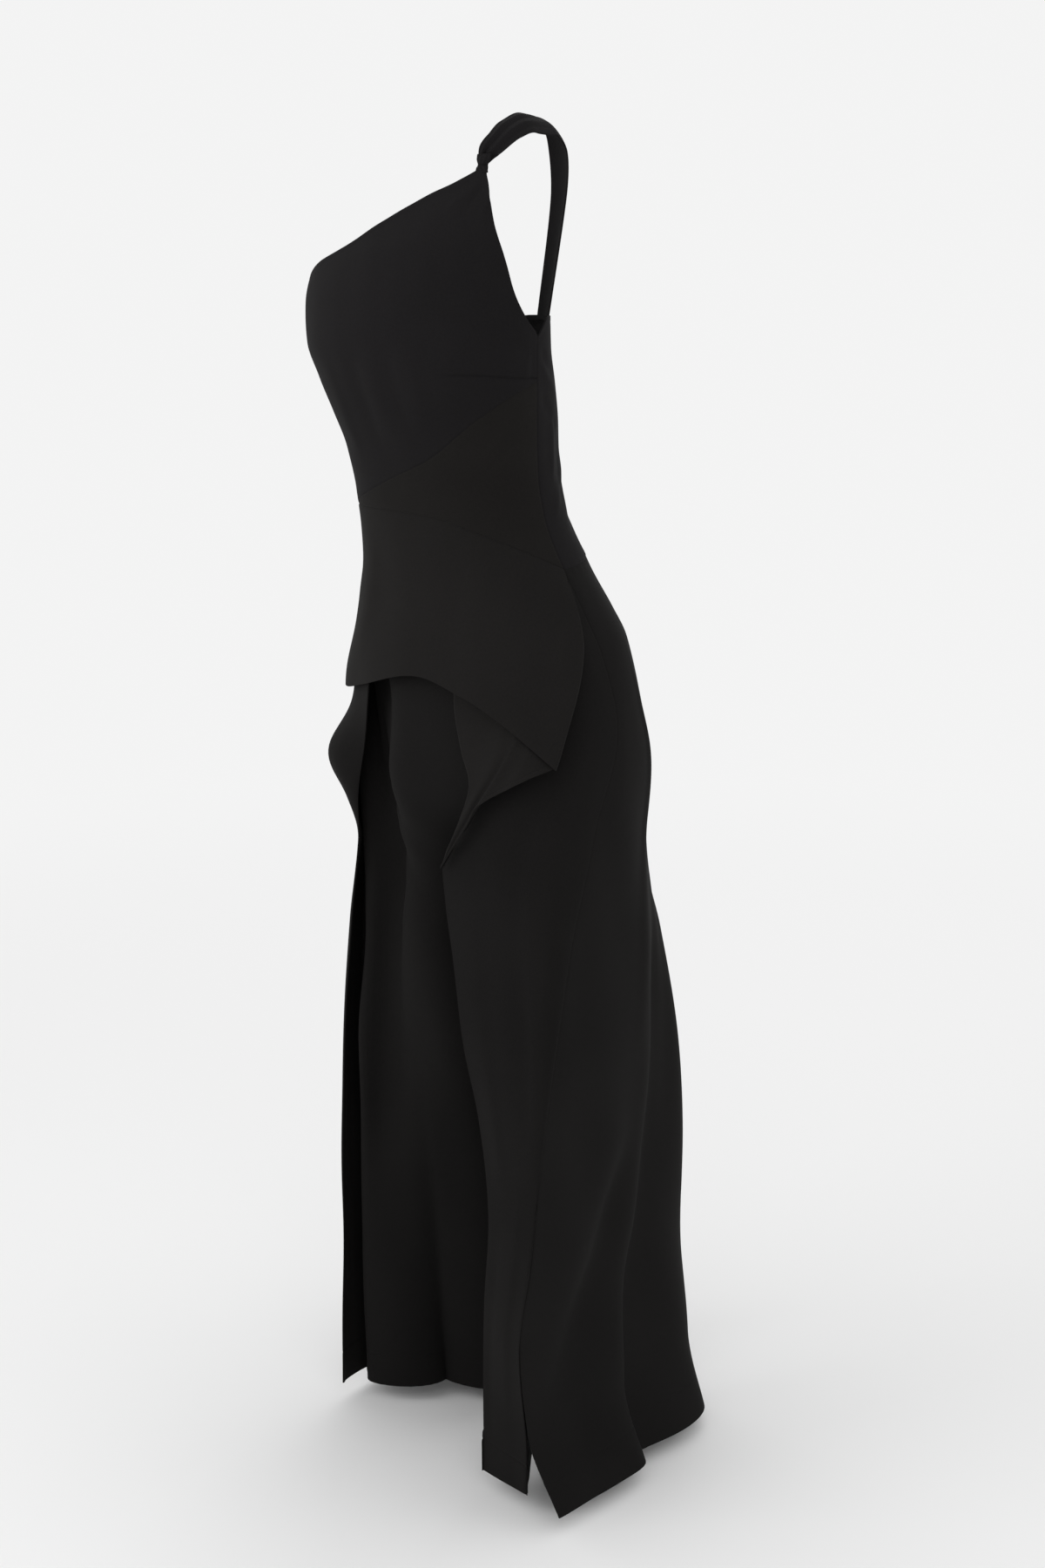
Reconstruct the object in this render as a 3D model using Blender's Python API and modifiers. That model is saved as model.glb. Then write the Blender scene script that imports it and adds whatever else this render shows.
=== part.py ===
"""A one-shoulder, wide-leg jumpsuit with a draped overlay, as worn.

Every piece is one sheet of cloth with a real thickness, worked out from the section tables
below. Pieces that lie on the body have an inner face from the same tables; the thickness of the
hanging pieces is laid inwards by a Solidify modifier.
Units are metres and +Z is up. The front of the garment faces -Y and the wearer's left is +X.
Heights are given above the floor, and the finished pieces are moved down so that the origin is
the point on top of the wearer's left shoulder that the strap lies on.
"""
import math

import bmesh
import bpy
from mathutils import Vector

# ---------------------------------------------------------------- driving dimensions
WALL = 0.0015                # thickness of the crepe
STRAP_WALL = 0.0024          # the strap is folded, so it is two layers thick
SEAM_GAP = 0.0005            # space between the pieces at a seam
SHOULDER = Vector((0.1216, -0.0250, 1.4277))   # where the wearer's shoulder carries the strap
CLOTH_COLOUR = (0.0122, 0.0115, 0.0108, 1.0)
CLOTH_ROUGHNESS = 0.85

PINCH = Vector((0.1110, -0.0640, 1.3857))      # middle of the pinch under the strap

UNDER_LIFT = -0.0045         # the trouser fronts lie this far inside the overlay at the waist
WAIST_LIFT = -0.0019         # ... but come up to it at the waist seam
UNDER_START = 0.960          # height at which they begin to come up to it
SIDE_INSET = 0.0045          # ... and this far inside the side seams
CENTRE_INSET = 0.0002        # half of the gap between left and right at the centre seams
CROTCH = 0.745               # height of the crotch point
RISE_START = 0.885           # height at which the hips begin to part into the two legs
OVERLAY_FLARE = 1.05         # how soon the front overlay leaves the body below the waist
PANEL_LIFT = 0.0030          # the long panels lie this far outside the hips
CASCADE_BOW = 0.002          # how far the cascade swells between its edges
CASCADE_LIFT = 0.0105        # how far its outer top corner lies outside the hips
HEM = 0.020                  # height of the hems
PANEL_TOP = 0.935            # top of the long panels, under the front overlay
LEFT_PANEL_WAIST = 1.000     # ... but the left one's side seam goes on up to here
PANEL_ROWS = 24              # rows of points from the hem to the panels' top
HIP_ROWS = 3                 # rows from there to the waist seam
SEAM_TURN = 0.0024           # extra room where the panels meet at a corner, below the knee


def table(columns, rows):
    """Rows of numbers become records with named columns."""
    names = columns.split()
    return [dict(zip(names, row)) for row in rows]


# The body of the garment: half width, and depth in front of and behind its own centre.
TORSO = table("height centre width front back", [
    (0.700, 0.052, 0.1840, 0.116, 0.112),
    (0.790, 0.050, 0.1840, 0.120, 0.111),
    (0.860, 0.043, 0.1800, 0.120, 0.113),
    (0.930, 0.032, 0.1650, 0.106, 0.119),
    (0.960, 0.023, 0.1550, 0.097, 0.114),
    (1.008, 0.010, 0.1360, 0.090, 0.100),
    (1.058, -0.006, 0.1240, 0.088, 0.0925),
    (1.085, -0.013, 0.1230, 0.085, 0.0925),
    (1.118, -0.020, 0.1260, 0.086, 0.0930),
    (1.155, -0.027, 0.1310, 0.096, 0.0950),
    (1.190, -0.035, 0.1380, 0.104, 0.0930),
    (1.222, -0.043, 0.1440, 0.107, 0.0910),
    (1.262, -0.045, 0.1460, 0.104, 0.0900),
    (1.300, -0.041, 0.1480, 0.094, 0.0880),
    (1.340, -0.031, 0.1510, 0.077, 0.0850),
    (1.380, -0.020, 0.1520, 0.066, 0.0820),
    (1.420, -0.012, 0.1500, 0.058, 0.0800),
])

# Seams and edges of the body pieces: height of each, by the angle round the body.
# The angle is 0 at the centre front, 90 at the wearer's left side, -90 at the right.
LOWER_SEAM = table("angle height", [
    (-90, 1.0480), (-42, 1.0610), (0, 1.0620), (25, 1.0580), (55, 1.0380), (90, 1.0080)])
WEDGE = table("angle tall", [
    (-90, 0.0000), (-50, 0.0000), (-42, 0.0040), (-10, 0.0230), (25, 0.0550), (58, 0.1200),
    (90, 0.1780), (95, 0.1830)])
WEDGE_TIP, WEDGE_SIDE = -44, 1.191
WEDGE_SHARE = 0.25           # share of a front seam's columns that lies right of the tip
BACK_WAIST = table("angle height", [
    (90, 1.0080), (135, 1.0150), (180, 1.0220), (225, 1.0330), (270, 1.0480)])
BACK_TOP = table("angle height", [
    (97, 1.2310), (114, 1.2500), (128, 1.2504), (142, 1.2504), (158, 1.2500), (180, 1.2440),
    (225, 1.2470), (270, 1.2610)])
NECKLINE = table("angle height", [
    (-90, 1.2610), (-60, 1.2800), (-34, 1.3000), (-13, 1.3180), (3.4, 1.3370), (22, 1.3570),
    (47, 1.3790)])
# The left edge of the front bodice: side seam, armhole and the tip under the strap.
FRONT_LEFT_EDGE = table("height angle", [
    (1.191, 95.0), (1.231, 97.5), (1.247, 89), (1.266, 82), (1.304, 71), (1.337, 58),
    (1.379, 49)])
# The left side seam of the body, from the hips up to the armhole.
SIDE_ANGLE = table("height angle", [
    (0.700, 90), (0.930, 90), (1.008, 90), (1.100, 92.2), (1.191, 95), (1.231, 97)])

# Lower edge of the front overlay: where it hangs, and how far it stands off the body.
OVERLAY_HEM = table("angle height lift", [
    (-89, 0.852, 0.014), (-66, 0.858, 0.015), (-41, 0.864, 0.013), (-22, 0.877, 0.012),
    (9, 0.899, 0.014), (29, 0.884, 0.023), (40, 0.865, 0.031), (54.7, 0.824, 0.041)])
# The left fold of the front overlay, where the cloth turns back under itself.
LEFT_FOLD = table("height angle", [
    (0.824, 54.7), (0.870, 62), (0.920, 72), (0.970, 83), (1.008, 90)])

# The trouser legs. Each section is two half ellipses on the line from the inseam to the
# side seam; "front" and "back" are their depths. x is measured outwards from the middle.
LEG_COLUMNS = "height seam_x seam_y slit_x slit_y inseam_x inseam_y front back"
LEFT_LEG = table(LEG_COLUMNS, [
    (0.020, 0.139, -0.037, 0.200, -0.042, 0.034, 0.070, 0.004, 0.242),
    (0.100, 0.145, -0.050, 0.178, -0.052, 0.031, 0.070, 0.005, 0.243),
    (0.205, 0.149, -0.061, 0.152, -0.058, 0.028, 0.068, 0.009, 0.238),
    (0.300, 0.162, -0.057, 0.163, -0.056, 0.022, 0.064, 0.018, 0.231),
    (0.420, 0.172, -0.050, 0.172, -0.050, 0.018, 0.060, 0.026, 0.222),
    (0.620, 0.184, -0.026, 0.184, -0.026, 0.008, 0.050, 0.048, 0.172),
    (0.745, 0.185, 0.006, 0.185, 0.006, 0.0002, 0.045, 0.076, 0.127),
    (0.860, 0.181, 0.028, 0.181, 0.028, 0.0002, 0.035, 0.086, 0.120)])
RIGHT_LEG = table(LEG_COLUMNS, [
    (0.020, 0.203, 0.020, 0.203, 0.020, 0.035, 0.105, 0.036, 0.190),
    (0.205, 0.200, 0.015, 0.200, 0.015, 0.028, 0.085, 0.046, 0.188),
    (0.420, 0.196, 0.012, 0.196, 0.012, 0.018, 0.064, 0.062, 0.175),
    (0.620, 0.190, 0.014, 0.190, 0.014, 0.008, 0.050, 0.072, 0.150),
    (0.745, 0.186, 0.022, 0.186, 0.022, 0.0002, 0.045, 0.085, 0.128),
    (0.860, 0.181, 0.032, 0.181, 0.032, 0.0002, 0.035, 0.090, 0.125)])

# The largest folds of the legs. "place" runs from 0 at the inseam to 1 at the side seam, at
# the fold's top and at the hem; depth is positive for a ridge and negative for a trough.
FOLD_COLUMNS = "top place_top place_hem width depth_mid depth_hem"
LEFT_BACK_FOLDS = table(FOLD_COLUMNS, [
    (0.45, 0.78, 0.95, 0.050, -0.008, -0.004),
    (0.62, 0.76, 0.87, 0.045, 0.003, 0.006),
    (0.72, 0.64, 0.745, 0.055, -0.008, -0.044),
    (0.62, 0.56, 0.61, 0.060, 0.002, 0.006),
    (0.60, 0.34, 0.40, 0.050, 0.004, 0.008),
    (0.55, 0.18, 0.22, 0.060, -0.004, -0.012)])
RIGHT_BACK_FOLDS = table(FOLD_COLUMNS, [
    (0.66, 0.78, 0.80, 0.055, -0.005, -0.012),
    (0.60, 0.60, 0.64, 0.050, 0.005, 0.011),
    (0.68, 0.44, 0.47, 0.050, -0.006, -0.014),
    (0.55, 0.26, 0.30, 0.055, 0.004, 0.010)])
LEFT_FRONT_FOLDS = table(FOLD_COLUMNS, [
    (0.90, 0.78, 0.76, 0.110, -0.026, -0.012)])
RIGHT_FRONT_FOLDS = table(FOLD_COLUMNS, [
    (0.90, 0.78, 0.84, 0.120, -0.044, -0.014),
    (0.62, 0.40, 0.40, 0.070, -0.004, -0.008)])

# The long overlay panels: their free front edge, and the sweep from it to the side seam.
# A round of 1 is a quarter ellipse and 2 is a straight line; bulge is added outwards.
LEFT_PANEL = table("height edge_x edge_y round bulge", [
    (0.020, 0.066, -0.039, 1.6, 0.001), (0.116, 0.072, -0.044, 1.6, 0.001),
    (0.223, 0.081, -0.050, 1.5, 0.002), (0.330, 0.094, -0.055, 1.4, 0.002),
    (0.442, 0.082, -0.059, 1.1, 0.004), (0.515, 0.066, -0.062, 0.9, 0.004),
    (0.605, 0.050, -0.063, 0.85, 0.004), (0.660, 0.040, -0.064, 0.8, 0.003),
    (0.699, 0.0375, -0.066, 0.8, 0.002), (0.757, 0.078, -0.067, 0.8, 0.000),
    (0.796, 0.093, -0.069, 0.8, 0.000), (0.828, 0.083, -0.070, 0.8, 0.000),
    (0.880, 0.069, -0.070, 0.8, 0.000), (0.935, 0.060, -0.069, 0.8, 0.000)])
RIGHT_PANEL = table("height edge_x edge_y round bulge", [
    (0.020, 0.189, -0.036, 1.2, 0.000), (0.200, 0.180, -0.038, 1.2, 0.000),
    (0.400, 0.171, -0.040, 1.2, 0.000), (0.500, 0.161, -0.042, 1.3, 0.000),
    (0.600, 0.143, -0.046, 1.5, 0.000), (0.695, 0.118, -0.053, 1.8, 0.000),
    (0.745, 0.106, -0.062, 1.6, 0.016), (0.800, 0.091, -0.070, 1.1, 0.036),
    (0.845, 0.082, -0.074, 1.0, 0.012), (0.876, 0.073, -0.075, 0.8, 0.000),
    (0.935, 0.068, -0.073, 0.8, 0.000)])

# The left cascade, the overlay's returning layer: its free edge from the outer tip to the low
# point, and the inner fold from there up to its top, where it turns back under once more.
LEFT_CASCADE_EDGE = table("along x y height", [
    (0.00, 0.1755, -0.0405, 0.8235), (0.12, 0.1640, -0.0590, 0.8149),
    (0.27, 0.1475, -0.0720, 0.8032), (0.43, 0.1233, -0.0790, 0.7886),
    (0.56, 0.1071, -0.0820, 0.7756), (0.70, 0.0914, -0.0800, 0.7546),
    (0.86, 0.0663, -0.0765, 0.7266), (1.00, 0.0435, -0.0725, 0.7012)])
LEFT_INNER_FOLD = table("along x y height", [
    (0.00, 0.0435, -0.0725, 0.7012), (0.28, 0.0801, -0.0765, 0.7607),
    (0.45, 0.0945, -0.0770, 0.8008), (0.58, 0.0813, -0.0755, 0.8315),
    (0.79, 0.0700, -0.0745, 0.8777), (1.00, 0.0719, -0.0746, 0.9250)])
CASCADE_TOP = {"height": 0.925, "from": 24, "to": 64}    # its top edge, under the overlay

# The strap, from the pinch at the front over the shoulder to the back bodice, with the
# direction across it, from its neck side to its arm side, and how far its middle is crowned.
STRAP = table("along x y height width crown across_x across_y across_z", [
    (0.00, 0.1095, -0.0650, 1.3942, 0.014, 0.0010, 0.75, 0.60, 0.00),
    (0.08, 0.1125, -0.0630, 1.4015, 0.018, 0.0019, 0.75, 0.50, -0.05),
    (0.17, 0.1160, -0.0560, 1.4100, 0.026, 0.0027, 0.76, 0.30, -0.20),
    (0.28, 0.1195, -0.0440, 1.4200, 0.034, 0.0036, 0.78, -0.05, -0.40),
    (0.42, 0.1216, -0.0250, 1.4262, 0.037, 0.0039, 0.79, -0.30, -0.48),
    (0.55, 0.1170, 0.0010, 1.4250, 0.037, 0.0039, 0.82, -0.20, -0.40),
    (0.66, 0.1100, 0.0240, 1.4080, 0.037, 0.0036, 0.86, -0.20, -0.25),
    (0.80, 0.0990, 0.0360, 1.3580, 0.036, 0.0030, 0.86, -0.32, -0.08),
    (1.00, 0.0899, 0.0254, 1.2510, 0.036, 0.0015, 0.90, -0.44, 0.00)])


# ---------------------------------------------------------------- curves and forms
def read(records, column, at, key="height"):
    """Value of a column at a place along the table, on a smooth curve through its rows."""
    ordered = sorted(records, key=lambda record: record[key])
    places = [record[key] for record in ordered]
    values = [record[column] for record in ordered]
    if at <= places[0]:
        return values[0]
    if at >= places[-1]:
        return values[-1]
    i = max(k for k in range(len(places) - 1) if places[k] <= at)
    step = places[i + 1] - places[i]
    rise = (values[i + 1] - values[i]) / step

    def slope(k):
        """Slope at a row, kept flat where the table turns."""
        if k == 0 or k == len(places) - 1:
            return rise
        before = (values[k] - values[k - 1]) / (places[k] - places[k - 1])
        after = (values[k + 1] - values[k]) / (places[k + 1] - places[k])
        if before * after <= 0:
            return 0.0
        return 2.0 * before * after / (before + after)

    t = (at - places[i]) / step
    start, end = slope(i) * step, slope(i + 1) * step
    return ((2 * t ** 3 - 3 * t ** 2 + 1) * values[i] + (t ** 3 - 2 * t ** 2 + t) * start
            + (3 * t ** 2 - 2 * t ** 3) * values[i + 1] + (t ** 3 - t ** 2) * end)


def mix(a, b, t):
    """The value or point between a and b."""
    return a + (b - a) * t


def ease(t):
    """0 to 1 with a soft start and end."""
    t = min(max(t, 0.0), 1.0)
    return t * t * (3 - 2 * t)


def torso_point(angle, height, lift=0.0):
    """A point on the body of the garment, or that far outside it."""
    turn = math.radians(angle)
    reach = read(TORSO, "front" if math.cos(turn) > 0 else "back", height) + lift
    width = read(TORSO, "width", height) + lift
    return Vector((width * math.sin(turn),
                   read(TORSO, "centre", height) - reach * math.cos(turn), height))


def coons(bottom, top, start, end, s, t):
    """A place inside four boundary curves; start and end are the sides at s=0 and s=1."""
    def pair(curve, at):
        return Vector(curve(at))
    ruled_t = pair(bottom, s) * (1 - t) + pair(top, s) * t
    ruled_s = pair(start, t) * (1 - s) + pair(end, t) * s
    corners = ((pair(bottom, 0) * (1 - s) + pair(bottom, 1) * s) * (1 - t)
               + (pair(top, 0) * (1 - s) + pair(top, 1) * s) * t)
    return ruled_t + ruled_s - corners


def gap_angle(angle, side, height=1.1):
    """An angle moved half a seam gap round the body."""
    turn = math.radians(angle)
    depth = read(TORSO, "front" if math.cos(turn) > 0 else "back", height)
    width = read(TORSO, "width", height)
    arc = math.hypot(width * math.cos(turn), depth * math.sin(turn))
    return angle + side * math.degrees(SEAM_GAP / 2 / arc)


def seam_angle(first, last, t):
    """Angles along the front seams. The wedge's tip is always a quarter of the way along, so
    that the pieces on both sides of a seam share their corners."""
    if t < WEDGE_SHARE:
        return mix(first, WEDGE_TIP, t / WEDGE_SHARE)
    return mix(WEDGE_TIP, last, (t - WEDGE_SHARE) / (1 - WEDGE_SHARE))


# ---------------------------------------------------------------- scene helpers
def clear_scene():
    for obj in list(bpy.data.objects):
        bpy.data.objects.remove(obj, do_unlink=True)


def cloth_material(name):
    material = bpy.data.materials.new(name)
    material.use_nodes = True
    shader = material.node_tree.nodes["Principled BSDF"]
    shader.inputs["Base Color"].default_value = CLOTH_COLOUR
    shader.inputs["Roughness"].default_value = CLOTH_ROUGHNESS
    shader.inputs["Metallic"].default_value = 0.0
    return material


def add_piece(name, form):
    """Make an object of the garment from a bmesh."""
    mesh = bpy.data.meshes.new(name)
    form.to_mesh(mesh)
    form.free()
    mesh.shade_smooth()
    mesh.materials.append(cloth_material(name + "_crepe"))
    piece = bpy.data.objects.new(name, mesh)
    garment.objects.link(piece)
    return piece


def sheet(name, rows, wall=WALL):
    """A piece of cloth from rows of points on its outer face, lowest row first.

    Each row runs anticlockwise seen from above, so the faces point outwards.
    """
    form = bmesh.new()
    grid = [[form.verts.new(point - SHOULDER) for point in row] for row in rows]
    for lower, upper in zip(grid, grid[1:]):
        for k in range(len(lower) - 1):
            form.faces.new((lower[k], lower[k + 1], upper[k + 1], upper[k]))
    piece = add_piece(name, form)
    thickness = piece.modifiers.new("Cloth thickness", "SOLIDIFY")
    thickness.thickness = wall
    thickness.offset = -1.0
    thickness.use_even_offset = True
    thickness.use_quality_normals = True


def shell(name, outer_rows, inner_rows):
    """A piece of cloth from rows of points on both of its faces, closed round its rim."""
    form = bmesh.new()
    outer = [[form.verts.new(point - SHOULDER) for point in row] for row in outer_rows]
    inner = [[form.verts.new(point - SHOULDER) for point in row] for row in inner_rows]
    last_row, last = len(outer) - 1, len(outer[0]) - 1
    for j in range(last_row):
        for k in range(last):
            form.faces.new((outer[j][k], outer[j][k + 1], outer[j + 1][k + 1], outer[j + 1][k]))
            form.faces.new((inner[j + 1][k], inner[j + 1][k + 1], inner[j][k + 1], inner[j][k]))
    rim = [(0, k) for k in range(last)]
    rim += [(j, last) for j in range(last_row)]
    rim += [(last_row, k) for k in range(last, 0, -1)]
    rim += [(j, 0) for j in range(last_row, 0, -1)]
    for (j, k), (m, n) in zip(rim, rim[1:] + rim[:1]):
        form.faces.new((outer[m][n], outer[j][k], inner[j][k], inner[m][n]))
    add_piece(name, form)


def body_piece(name, bottom, top, start, end, columns, rows):
    """A piece that lies on the body form, inside four edges given as (angle, height)."""
    outer, inner = [], []
    for j in range(rows + 1):
        places = [coons(bottom, top, start, end, i / columns, j / rows)
                  for i in range(columns + 1)]
        outer.append([torso_point(place[0], place[1]) for place in places])
        inner.append([torso_point(place[0], place[1], -WALL) for place in places])
    shell(name, outer, inner)


# ---------------------------------------------------------------- bodice
def edge(records, first, last, shift=0.0):
    """An edge between two angles, as a curve of (angle, height) moved up by a shift."""
    def curve(t):
        angle = mix(first, last, t)
        return angle, read(records, "height", angle, "angle") + shift
    return curve


def side(low, high, gap_side):
    """The left side seam between two heights, as a curve of (angle, height)."""
    def curve(t):
        height = mix(low, high, t)
        return gap_angle(read(SIDE_ANGLE, "angle", height), gap_side, height), height
    return curve


def upright(angle, low, high, gap_side):
    """A straight edge up the body."""
    def curve(t):
        height = mix(low, high, t)
        return gap_angle(angle, gap_side, height), height
    return curve


def armhole_edge(low, high):
    """The left edge of the front bodice: the side seam, then the armhole up to the tip."""
    def curve(t):
        height = mix(low, high, t)
        angle = min(read(SIDE_ANGLE, "angle", height), read(FRONT_LEFT_EDGE, "angle", height))
        return gap_angle(angle, -1, height), height
    return curve


def upper_height(angle):
    """Height of the seam over the wedge: the lower seam raised by the wedge's own height."""
    return read(LOWER_SEAM, "height", angle, "angle") + read(WEDGE, "tall", angle, "angle")


def make_front_bodice():
    half = SEAM_GAP / 2
    left_edge = armhole_edge(WEDGE_SIDE + half, 1.379)
    right_edge = upright(-90, 1.048 + half, 1.261, 1)

    def waist(t):
        angle = seam_angle(right_edge(0)[0], left_edge(0)[0], t)
        return angle, upper_height(angle) + half

    def neckline(t):
        angle = seam_angle(right_edge(1)[0], left_edge(1)[0], t)
        return angle, read(NECKLINE, "height", angle, "angle")

    body_piece("bodice_front", waist, neckline, right_edge, left_edge, 28, 14)


def make_waist_wedge():
    half = SEAM_GAP / 2
    low_tip = read(LOWER_SEAM, "height", WEDGE_TIP, "angle") + half
    left_edge = side(1.008 + half, WEDGE_SIDE - half, -1)
    pointed = upright(WEDGE_TIP, low_tip, upper_height(WEDGE_TIP) - half, 0)

    def low(t):
        angle = mix(WEDGE_TIP, left_edge(0)[0], t)
        return angle, read(LOWER_SEAM, "height", angle, "angle") + half

    def high(t):
        angle = mix(WEDGE_TIP, left_edge(1)[0], t)
        return angle, upper_height(angle) - half

    body_piece("waist_wedge", low, high, pointed, left_edge, 21, 12)


def make_back_bodice():
    half = SEAM_GAP / 2
    left_edge = side(1.008 + half, 1.231, 1)
    centre = read(BACK_WAIST, "height", 180, "angle") + half
    centre_top = read(BACK_TOP, "height", 180, "angle")
    left_of_centre = upright(180, centre, centre_top, -1)
    right_of_centre = upright(180, centre, centre_top, 1)
    right_edge = upright(270, 1.048 + half, 1.261, -1)
    body_piece("bodice_back_left",
               edge(BACK_WAIST, left_edge(0)[0], left_of_centre(0)[0], half),
               edge(BACK_TOP, left_edge(1)[0], left_of_centre(1)[0]),
               left_edge, left_of_centre, 10, 14)
    body_piece("bodice_back_right",
               edge(BACK_WAIST, right_of_centre(0)[0], right_edge(0)[0], half),
               edge(BACK_TOP, right_of_centre(1)[0], right_edge(1)[0]),
               right_of_centre, right_edge, 9, 14)


# ---------------------------------------------------------------- overlay
def make_front_overlay():
    """From the waist seam to the pointed hem; it stands further off the body as it falls."""
    columns, rows = 28, 10
    outer, inner = [], []
    for j in range(rows + 1):
        fall = 1 - j / rows
        outer.append([])
        inner.append([])
        for i in range(columns + 1):
            across = i / columns
            angle_top = seam_angle(gap_angle(-90, 1, 1.048), gap_angle(90, -1, 1.008), across)
            height_top = read(LOWER_SEAM, "height", angle_top, "angle") - SEAM_GAP / 2
            angle_low = mix(-89, 54.7, across)
            height_low = read(OVERLAY_HEM, "height", angle_low, "angle")
            lift_low = read(OVERLAY_HEM, "lift", angle_low, "angle")
            height = mix(height_top, height_low, fall)
            angle = mix(angle_top, angle_low, fall)
            if i == columns:
                angle = read(LEFT_FOLD, "angle", height)
            lift = lift_low * fall ** OVERLAY_FLARE
            outer[j].append(torso_point(angle, height, lift))
            inner[j].append(torso_point(angle, height, lift - WALL))
    shell("overlay_front", outer, inner)


def space_curve(records):
    """A curve through the table's places."""
    def curve(t):
        return Vector([read(records, axis, t, "along") for axis in ("x", "y", "height")])
    return curve


def make_left_cascade():
    """The layer that returns from the left tip to the inner fold, under the overlay."""
    columns, rows = 12, 8
    free_edge = space_curve(LEFT_CASCADE_EDGE)
    inner_fold = space_curve(LEFT_INNER_FOLD)
    outer_top = torso_point(CASCADE_TOP["to"], CASCADE_TOP["height"], CASCADE_LIFT)

    def low(t):
        return free_edge(1 - t)

    def high(t):
        angle = mix(CASCADE_TOP["from"], CASCADE_TOP["to"], t)
        return torso_point(angle, CASCADE_TOP["height"], CASCADE_LIFT)

    def outer_fold(t):
        return mix(free_edge(0), outer_top, t)

    grid = []
    for j in range(rows + 1):
        rise = j / rows
        line = []
        for i in range(columns + 1):
            point = coons(low, high, inner_fold, outer_fold, i / columns, rise)
            point.y -= CASCADE_BOW * math.sin(math.pi * rise) * math.sin(math.pi * i / columns)
            line.append(point)
        grid.append(line)
    sheet("cascade_left", grid)


def seam_room(height, start=0.86):
    """Half the space at a seam of the legs; below the start the walls meet at a corner."""
    return SEAM_GAP / 2 + SEAM_TURN / 2 * ease((start - height) / 0.25)


def panel_rows(records, leg, columns, flip, waist=None):
    """Rows of a long overlay panel, from its free edge to the side seam.

    With a waist height, a few more rows take its side seam up to the waist.
    """
    grid = []
    rows = PANEL_ROWS + (HIP_ROWS if waist else 0)
    for j in range(rows + 1):
        line = []
        for i in range(columns + 1):
            across = i / columns
            height = mix(HEM, PANEL_TOP, min(j / PANEL_ROWS, 1))
            if j > PANEL_ROWS:
                share = 0.06 + 0.94 * max((across - 0.55) / 0.45, 0) ** 2.2
                height = mix(PANEL_TOP, waist, share * (j - PANEL_ROWS) / HIP_ROWS)
            edge_x, edge_y = read(records, "edge_x", height), read(records, "edge_y", height)
            free = Vector((edge_x, edge_y, height))
            seam = Vector((read(leg, "seam_x", height), read(leg, "seam_y", height), height))
            hip_share = ease((height - CROTCH) / (RISE_START - CROTCH))
            width = read(TORSO, "width", height) + PANEL_LIFT
            first_angle = math.degrees(math.asin(min(free.x / width, 1.0)))
            bulge = read(records, "bulge", height)
            power = read(records, "round", height)
            turn = math.pi / 2 * across
            point = Vector((free.x + (seam.x - free.x) * math.sin(turn) ** power,
                            seam.y + (free.y - seam.y) * max(math.cos(turn), 0) ** power,
                            height))
            point += Vector((0.45, -0.89, 0.0)) * bulge * math.sin(math.pi * across)
            lift = mix(PANEL_LIFT, 0.0, ease((across - 0.75) / 0.25))
            hip = torso_point(mix(first_angle, 90, across), height, lift)
            point = mix(point, hip, hip_share)
            if i == columns:
                point.y -= seam_room(height)
            line.append(point)
        grid.append(line)
    if flip:
        grid = [[Vector((-p.x, p.y, p.z)) for p in reversed(line)] for line in grid]
    return grid


def make_long_panels():
    sheet("overlay_left", panel_rows(LEFT_PANEL, LEFT_LEG, 10, False, LEFT_PANEL_WAIST))
    sheet("overlay_right", panel_rows(RIGHT_PANEL, RIGHT_LEG, 9, True))


# ---------------------------------------------------------------- trouser legs
def fold_push(folds, place, height):
    """How far the folds push the cloth out at a place on a leg."""
    push = 0.0
    for fold in folds:
        if height >= fold["top"]:
            continue
        down = (fold["top"] - height) / fold["top"]
        centre = mix(fold["place_top"], fold["place_hem"], down)
        depth = mix(fold["depth_mid"], fold["depth_hem"], down) * ease(down * 4)
        push += depth * math.exp(-((place - centre) / fold["width"]) ** 2)
    return push


def leg_point(leg, folds, place, height, back):
    """A point of a leg section; place is 0 at the inseam and 1 at the side seam."""
    turn = math.pi * place
    prefix = "slit" if back else "seam"
    seam = Vector((read(leg, prefix + "_x", height), read(leg, prefix + "_y", height), 0))
    inseam = Vector((read(leg, "inseam_x", height), read(leg, "inseam_y", height), 0))
    point = mix(inseam, seam, (1 - math.cos(turn)) / 2)
    depth = read(leg, "back" if back else "front", height)
    sign = 1 if back else -1
    point.y += sign * depth * math.sin(turn) ** 0.9
    middle = mix(inseam, seam, 0.5)
    outward = Vector((point.x - middle.x, point.y - middle.y, 0))
    if outward.length > 0:
        point += outward.normalized() * fold_push(folds, place, height)
    point.z = height
    return point


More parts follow.
